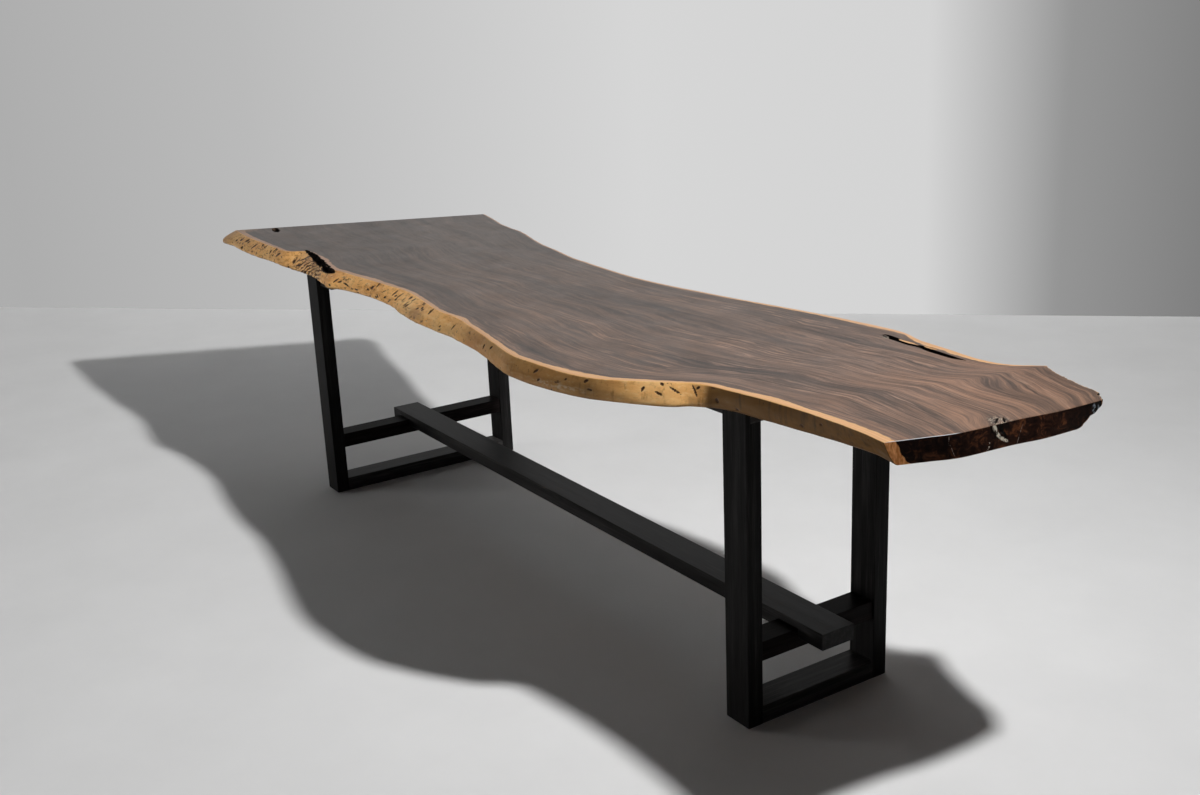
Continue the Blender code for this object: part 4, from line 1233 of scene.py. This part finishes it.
def bark_finish():
    """Rough bark and the walls of cracks: near black, with tan wood showing in places."""
    finish = Finish("bark_and_hollows", roughness=0.8, specular=0.25)
    place = finish.object_place()
    lumps = finish.noise(place, (55, 55, 40), 5.0, 0.65)
    colour = finish.ramp(lumps, BARK_TONES)
    splint = finish.noise(place, (20, 260, 60), 3.0, 0.6, shift=(2, 5, 1))
    tan = finish.mix(finish.step(splint, 0.40, 0.65), *SPLINTER)
    for start, centre, end in CRACK_STRIPS:
        half = ((end[0] - start[0]) / 2 + STRIP_PAST, *STRIP_PATCH)
        turn = math.degrees(math.atan2(end[1] - start[1], end[0] - start[0]))
        colour = finish.lay(colour, tan, finish.patch(place, centre, half, (0, 0, turn), STRIP_SOFTNESS))
    colour = finish.lay(colour, IVORY, finish.patch(place, *CHIP_PATCH))
    finish.colour(pale_streaks(finish, place, KNOT_STREAKS, colour))
    finish.bump(lumps, 0.002, 0.8)
    return finish.material


def ebonised_finish(name, axis, gloss, depth=1.0, warmth=0.0):
    """Ebonised timber: near-black satin with the grain just showing along each member."""
    finish = Finish(name, specular=gloss)
    place = finish.object_place()
    stretch = tuple(LONG_GRAIN if number == axis else CROSS_GRAIN for number in range(3))
    grain = finish.noise(place, stretch, 4.0, 0.6)
    fine = finish.noise(place, tuple(5 * waves for waves in stretch), 3.0, 0.6, shift=(3, 3, 3))
    tone = weigh(finish, (grain, 0.6), (fine, 0.4))
    red, green, blue = (depth * share for share in EBONY_TINT)
    tint = (red * (1.0 + warmth), green, blue)
    stops = [(stop, tuple(level * share for share in tint)) for stop, level in EBONY]
    finish.colour(finish.ramp(tone, stops))
    finish.roughness(finish.span(grain, 0.34, 0.46))
    finish.bump(tone, 0.0004, 0.5)
    return finish.material


def beech_finish():
    finish = Finish("tenon_beech", specular=0.4)
    lines = finish.noise(finish.object_place(), (90, 14, 90), 4.0, 0.6)
    finish.colour(finish.ramp(lines, BEECH))
    finish.roughness(finish.span(lines, 0.5, 0.65))
    finish.bump(lines, 0.0003, 0.5)
    return finish.material


def metal_finish(name, tones):
    """Plated fixings with fine turning marks."""
    finish = Finish(name, metallic=1.0)
    marks = finish.noise(finish.object_place(), (300, 300, 1800), 3.0, 0.6)
    finish.colour(finish.ramp(marks, tones))
    finish.roughness(finish.span(marks, 0.24, 0.42))
    finish.bump(marks, 0.0001, 0.4)
    return finish.material


def make_slab():
    """The slab, with its finishes and hollows, in place of the plain one."""
    shape = Slab()
    slab = bpy.data.objects.new("live_edge_slab", slab_mesh(shape))
    bpy.context.collection.objects.link(slab)
    for finish in (slab_face_finish(shape.length), live_edge_finish(), end_grain_finish(), bark_finish()):
        slab.data.materials.append(finish)
    cut_hollow(slab, separate_hollows)
    cut_hollow(slab, crack_strips)
    for number in range(len(LONE_HOLLOWS)):
        cut_hollow(slab, lone_hollow(number))
    slab.data.set_sharp_from_angle(angle=math.radians(SHARP_ANGLE))
    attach(slab, "root")
    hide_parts("slab_top")


def set_finish(node, material):
    """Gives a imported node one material."""
    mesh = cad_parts[node].data
    if mesh.materials:
        for place in range(len(mesh.materials)):
            mesh.materials[place] = material
    else:
        mesh.materials.append(material)


def finish_base():
    """Each member of the base gets its grain along its own length, and each fixing its metal."""
    stretcher = ebonised_finish("ebonised_stretcher", ALONG, gloss=0.08)
    # The bottom rails' and bearers' finish is painted lighter for the key light on the bottom rails' tops,
    # and the cross rails' is painted darker for the shade they lie in
    rail = ebonised_finish("ebonised_rail", ACROSS, gloss=0.05, depth=1.8)
    cross_rail = ebonised_finish("ebonised_cross_rail", ACROSS, gloss=0.02, depth=0.4, warmth=0.3)
    leg = ebonised_finish("ebonised_leg", UPRIGHT, gloss=0.03, depth=0.7)
    beech = beech_finish()
    zinc = metal_finish("zinc_plate", ZINC)
    brass = metal_finish("insert_brass", BRASS)
    # A fixing's name may hold a member's word too, so the fixings come first
    kinds = [("tenon", beech), ("insert", brass), ("screw", zinc), ("bolt", zinc), ("washer", zinc),
             ("stretcher", stretcher), ("cross_rail", cross_rail), ("bottom_rail", rail), ("bearer", rail),
             ("leg", leg)]
    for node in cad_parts:
        for word, material in kinds:
            if word in node:
                set_finish(node, material)
                break


def aim(thing, place, target):
    """Puts a light at a place and turns it to a target."""
    thing.location = placed(place)
    thing.rotation_euler = (placed(target) - placed(place)).to_track_quat("-Z", "Y").to_euler()


def make_camera():
    """The camera, from its place, two angles and its roll."""
    camera = bpy.data.objects.new("camera", bpy.data.cameras.new("camera"))
    bpy.context.collection.objects.link(camera)
    camera.data.sensor_fit = "HORIZONTAL"
    camera.data.sensor_width = CAMERA_SENSOR
    camera.data.lens = CAMERA_LENS
    camera.location = placed(CAMERA_PLACE)
    tilt = Euler((math.radians(90 - CAMERA_ELEVATION), 0.0, math.radians(CAMERA_AZIMUTH))).to_matrix()
    roll = Euler((0.0, 0.0, math.radians(CAMERA_ROLL))).to_matrix()
    camera.rotation_euler = (tilt @ roll).to_euler()
    bpy.context.scene.camera = camera


def make_light(name, place, target, size, power, shown=True):
    """A round soft light whose strength is the same at every distance."""
    lamp = bpy.data.lights.new(name, "AREA")
    lamp.shape = "DISK"
    lamp.size = size
    lamp.energy = power
    lamp.use_nodes = True
    falloff = lamp.node_tree.nodes.new("ShaderNodeLightFalloff")
    falloff.inputs["Strength"].default_value = 1.0
    lamp.node_tree.links.new(falloff.outputs["Constant"], lamp.node_tree.nodes["Emission"].inputs["Strength"])
    light = bpy.data.objects.new(name, lamp)
    light.visible_glossy = shown
    bpy.context.collection.objects.link(light)
    aim(light, place, target)


def seen_directly(nodes, links):
    """1 for rays from the camera or off a glossy surface, 0 for the rays that carry light."""
    path = nodes.new("ShaderNodeLightPath")
    seen = nodes.new("ShaderNodeMath")
    seen.operation = "MAXIMUM"
    links.new(path.outputs["Is Camera Ray"], seen.inputs[0])
    links.new(path.outputs["Is Glossy Ray"], seen.inputs[1])
    return seen.outputs[0]


def paint_finish(name):
    """Pale matt paint for the floor and the wall."""
    finish = Finish(name, roughness=0.8, specular=0.2)
    cloud = finish.noise(finish.object_place(), (3, 3, 3), 4.0, 0.6)
    dull, bright = ((FLOOR_TONE * share,) * 3 for share in FLOOR_CLOUD)
    finish.colour(finish.ramp(cloud, [(0.3, dull), (0.7, bright)]))
    return finish


def wall_finish():
    """Wall that glows with painted light and shade for the camera and reflections, and is clear from behind.
    """
    finish = paint_finish("wall_paint")
    along, _, _ = finish.split(finish.local(finish.object_place(), WALL_FOOT, turn=(0, 0, WALL_TURN)))
    first, last = WALL_PAINTED_LIGHT[0][0], WALL_PAINTED_LIGHT[-1][0]
    share = finish.math("DIVIDE", finish.math("SUBTRACT", along, first), last - first)
    look = finish.ramp(share, [((x - first) / (last - first), (tone,) * 3) for x, tone in WALL_PAINTED_LIGHT])
    # The camera and reflections see the painted light and shade glow; other rays see the paint
    shine = finish.node("ShaderNodeEmission", {0: look}).outputs[0]
    seen = seen_directly(finish.nodes, finish.links)
    front = finish.node("ShaderNodeMixShader", {0: seen, 1: finish.shader.outputs[0], 2: shine}).outputs[0]
    behind = finish.node("ShaderNodeNewGeometry").outputs["Backfacing"]
    clear = finish.node("ShaderNodeBsdfTransparent").outputs[0]
    show = finish.node("ShaderNodeMixShader", {0: behind, 1: front, 2: clear}).outputs[0]
    finish.links.new(show, finish.nodes["Material Output"].inputs["Surface"])
    return finish.material


def stage_sheet(name, half, material, matrix):
    """A flat sheet of the stage."""
    bm = bmesh.new()
    bmesh.ops.create_grid(bm, x_segments=1, y_segments=1, size=1.0,
                          matrix=matrix @ Matrix.Diagonal((*half, 1.0, 1.0)))
    sheet = bpy.data.objects.new(name, bpy.data.meshes.new(name))
    bm.to_mesh(sheet.data)
    bm.free()
    sheet.data.materials.append(material)
    bpy.context.collection.objects.link(sheet)
    return sheet


def make_stage():
    """A pale floor and a wall behind the table."""
    upright = Matrix.Rotation(math.radians(WALL_TURN), 4, "Z") @ Matrix.Rotation(math.radians(90), 4, "X")
    floor = stage_sheet("floor", (FLOOR_REACH, FLOOR_REACH), paint_finish("floor_paint").material, Matrix())
    wall = stage_sheet("backdrop", WALL_HALF, wall_finish(), Matrix.Translation(placed(WALL_FOOT)) @ upright)


def make_world():
    """Low even light all round. The camera and reflections see a paler grey."""
    world = bpy.data.worlds.new("studio")
    bpy.context.scene.world = world
    world.use_nodes = True
    nodes = world.node_tree.nodes
    links = world.node_tree.links
    strength = nodes.new("ShaderNodeMapRange")
    strength.inputs["To Min"].default_value = WORLD_LIGHT
    strength.inputs["To Max"].default_value = WORLD_SHOWN
    links.new(seen_directly(nodes, links), strength.inputs["Value"])
    links.new(strength.outputs[0], nodes["Background"].inputs["Strength"])
    nodes["Background"].inputs["Color"].default_value = (1.0, 1.0, 1.0, 1.0)


make_slab()
finish_base()
make_camera()
make_light("key", KEY_PLACE, KEY_AIM, KEY_SIZE, KEY_POWER)
make_light("fill", FILL_PLACE, FILL_AIM, FILL_SIZE, FILL_POWER, shown=False)
make_stage()
make_world()
bpy.context.scene.view_settings.view_transform = "Standard"
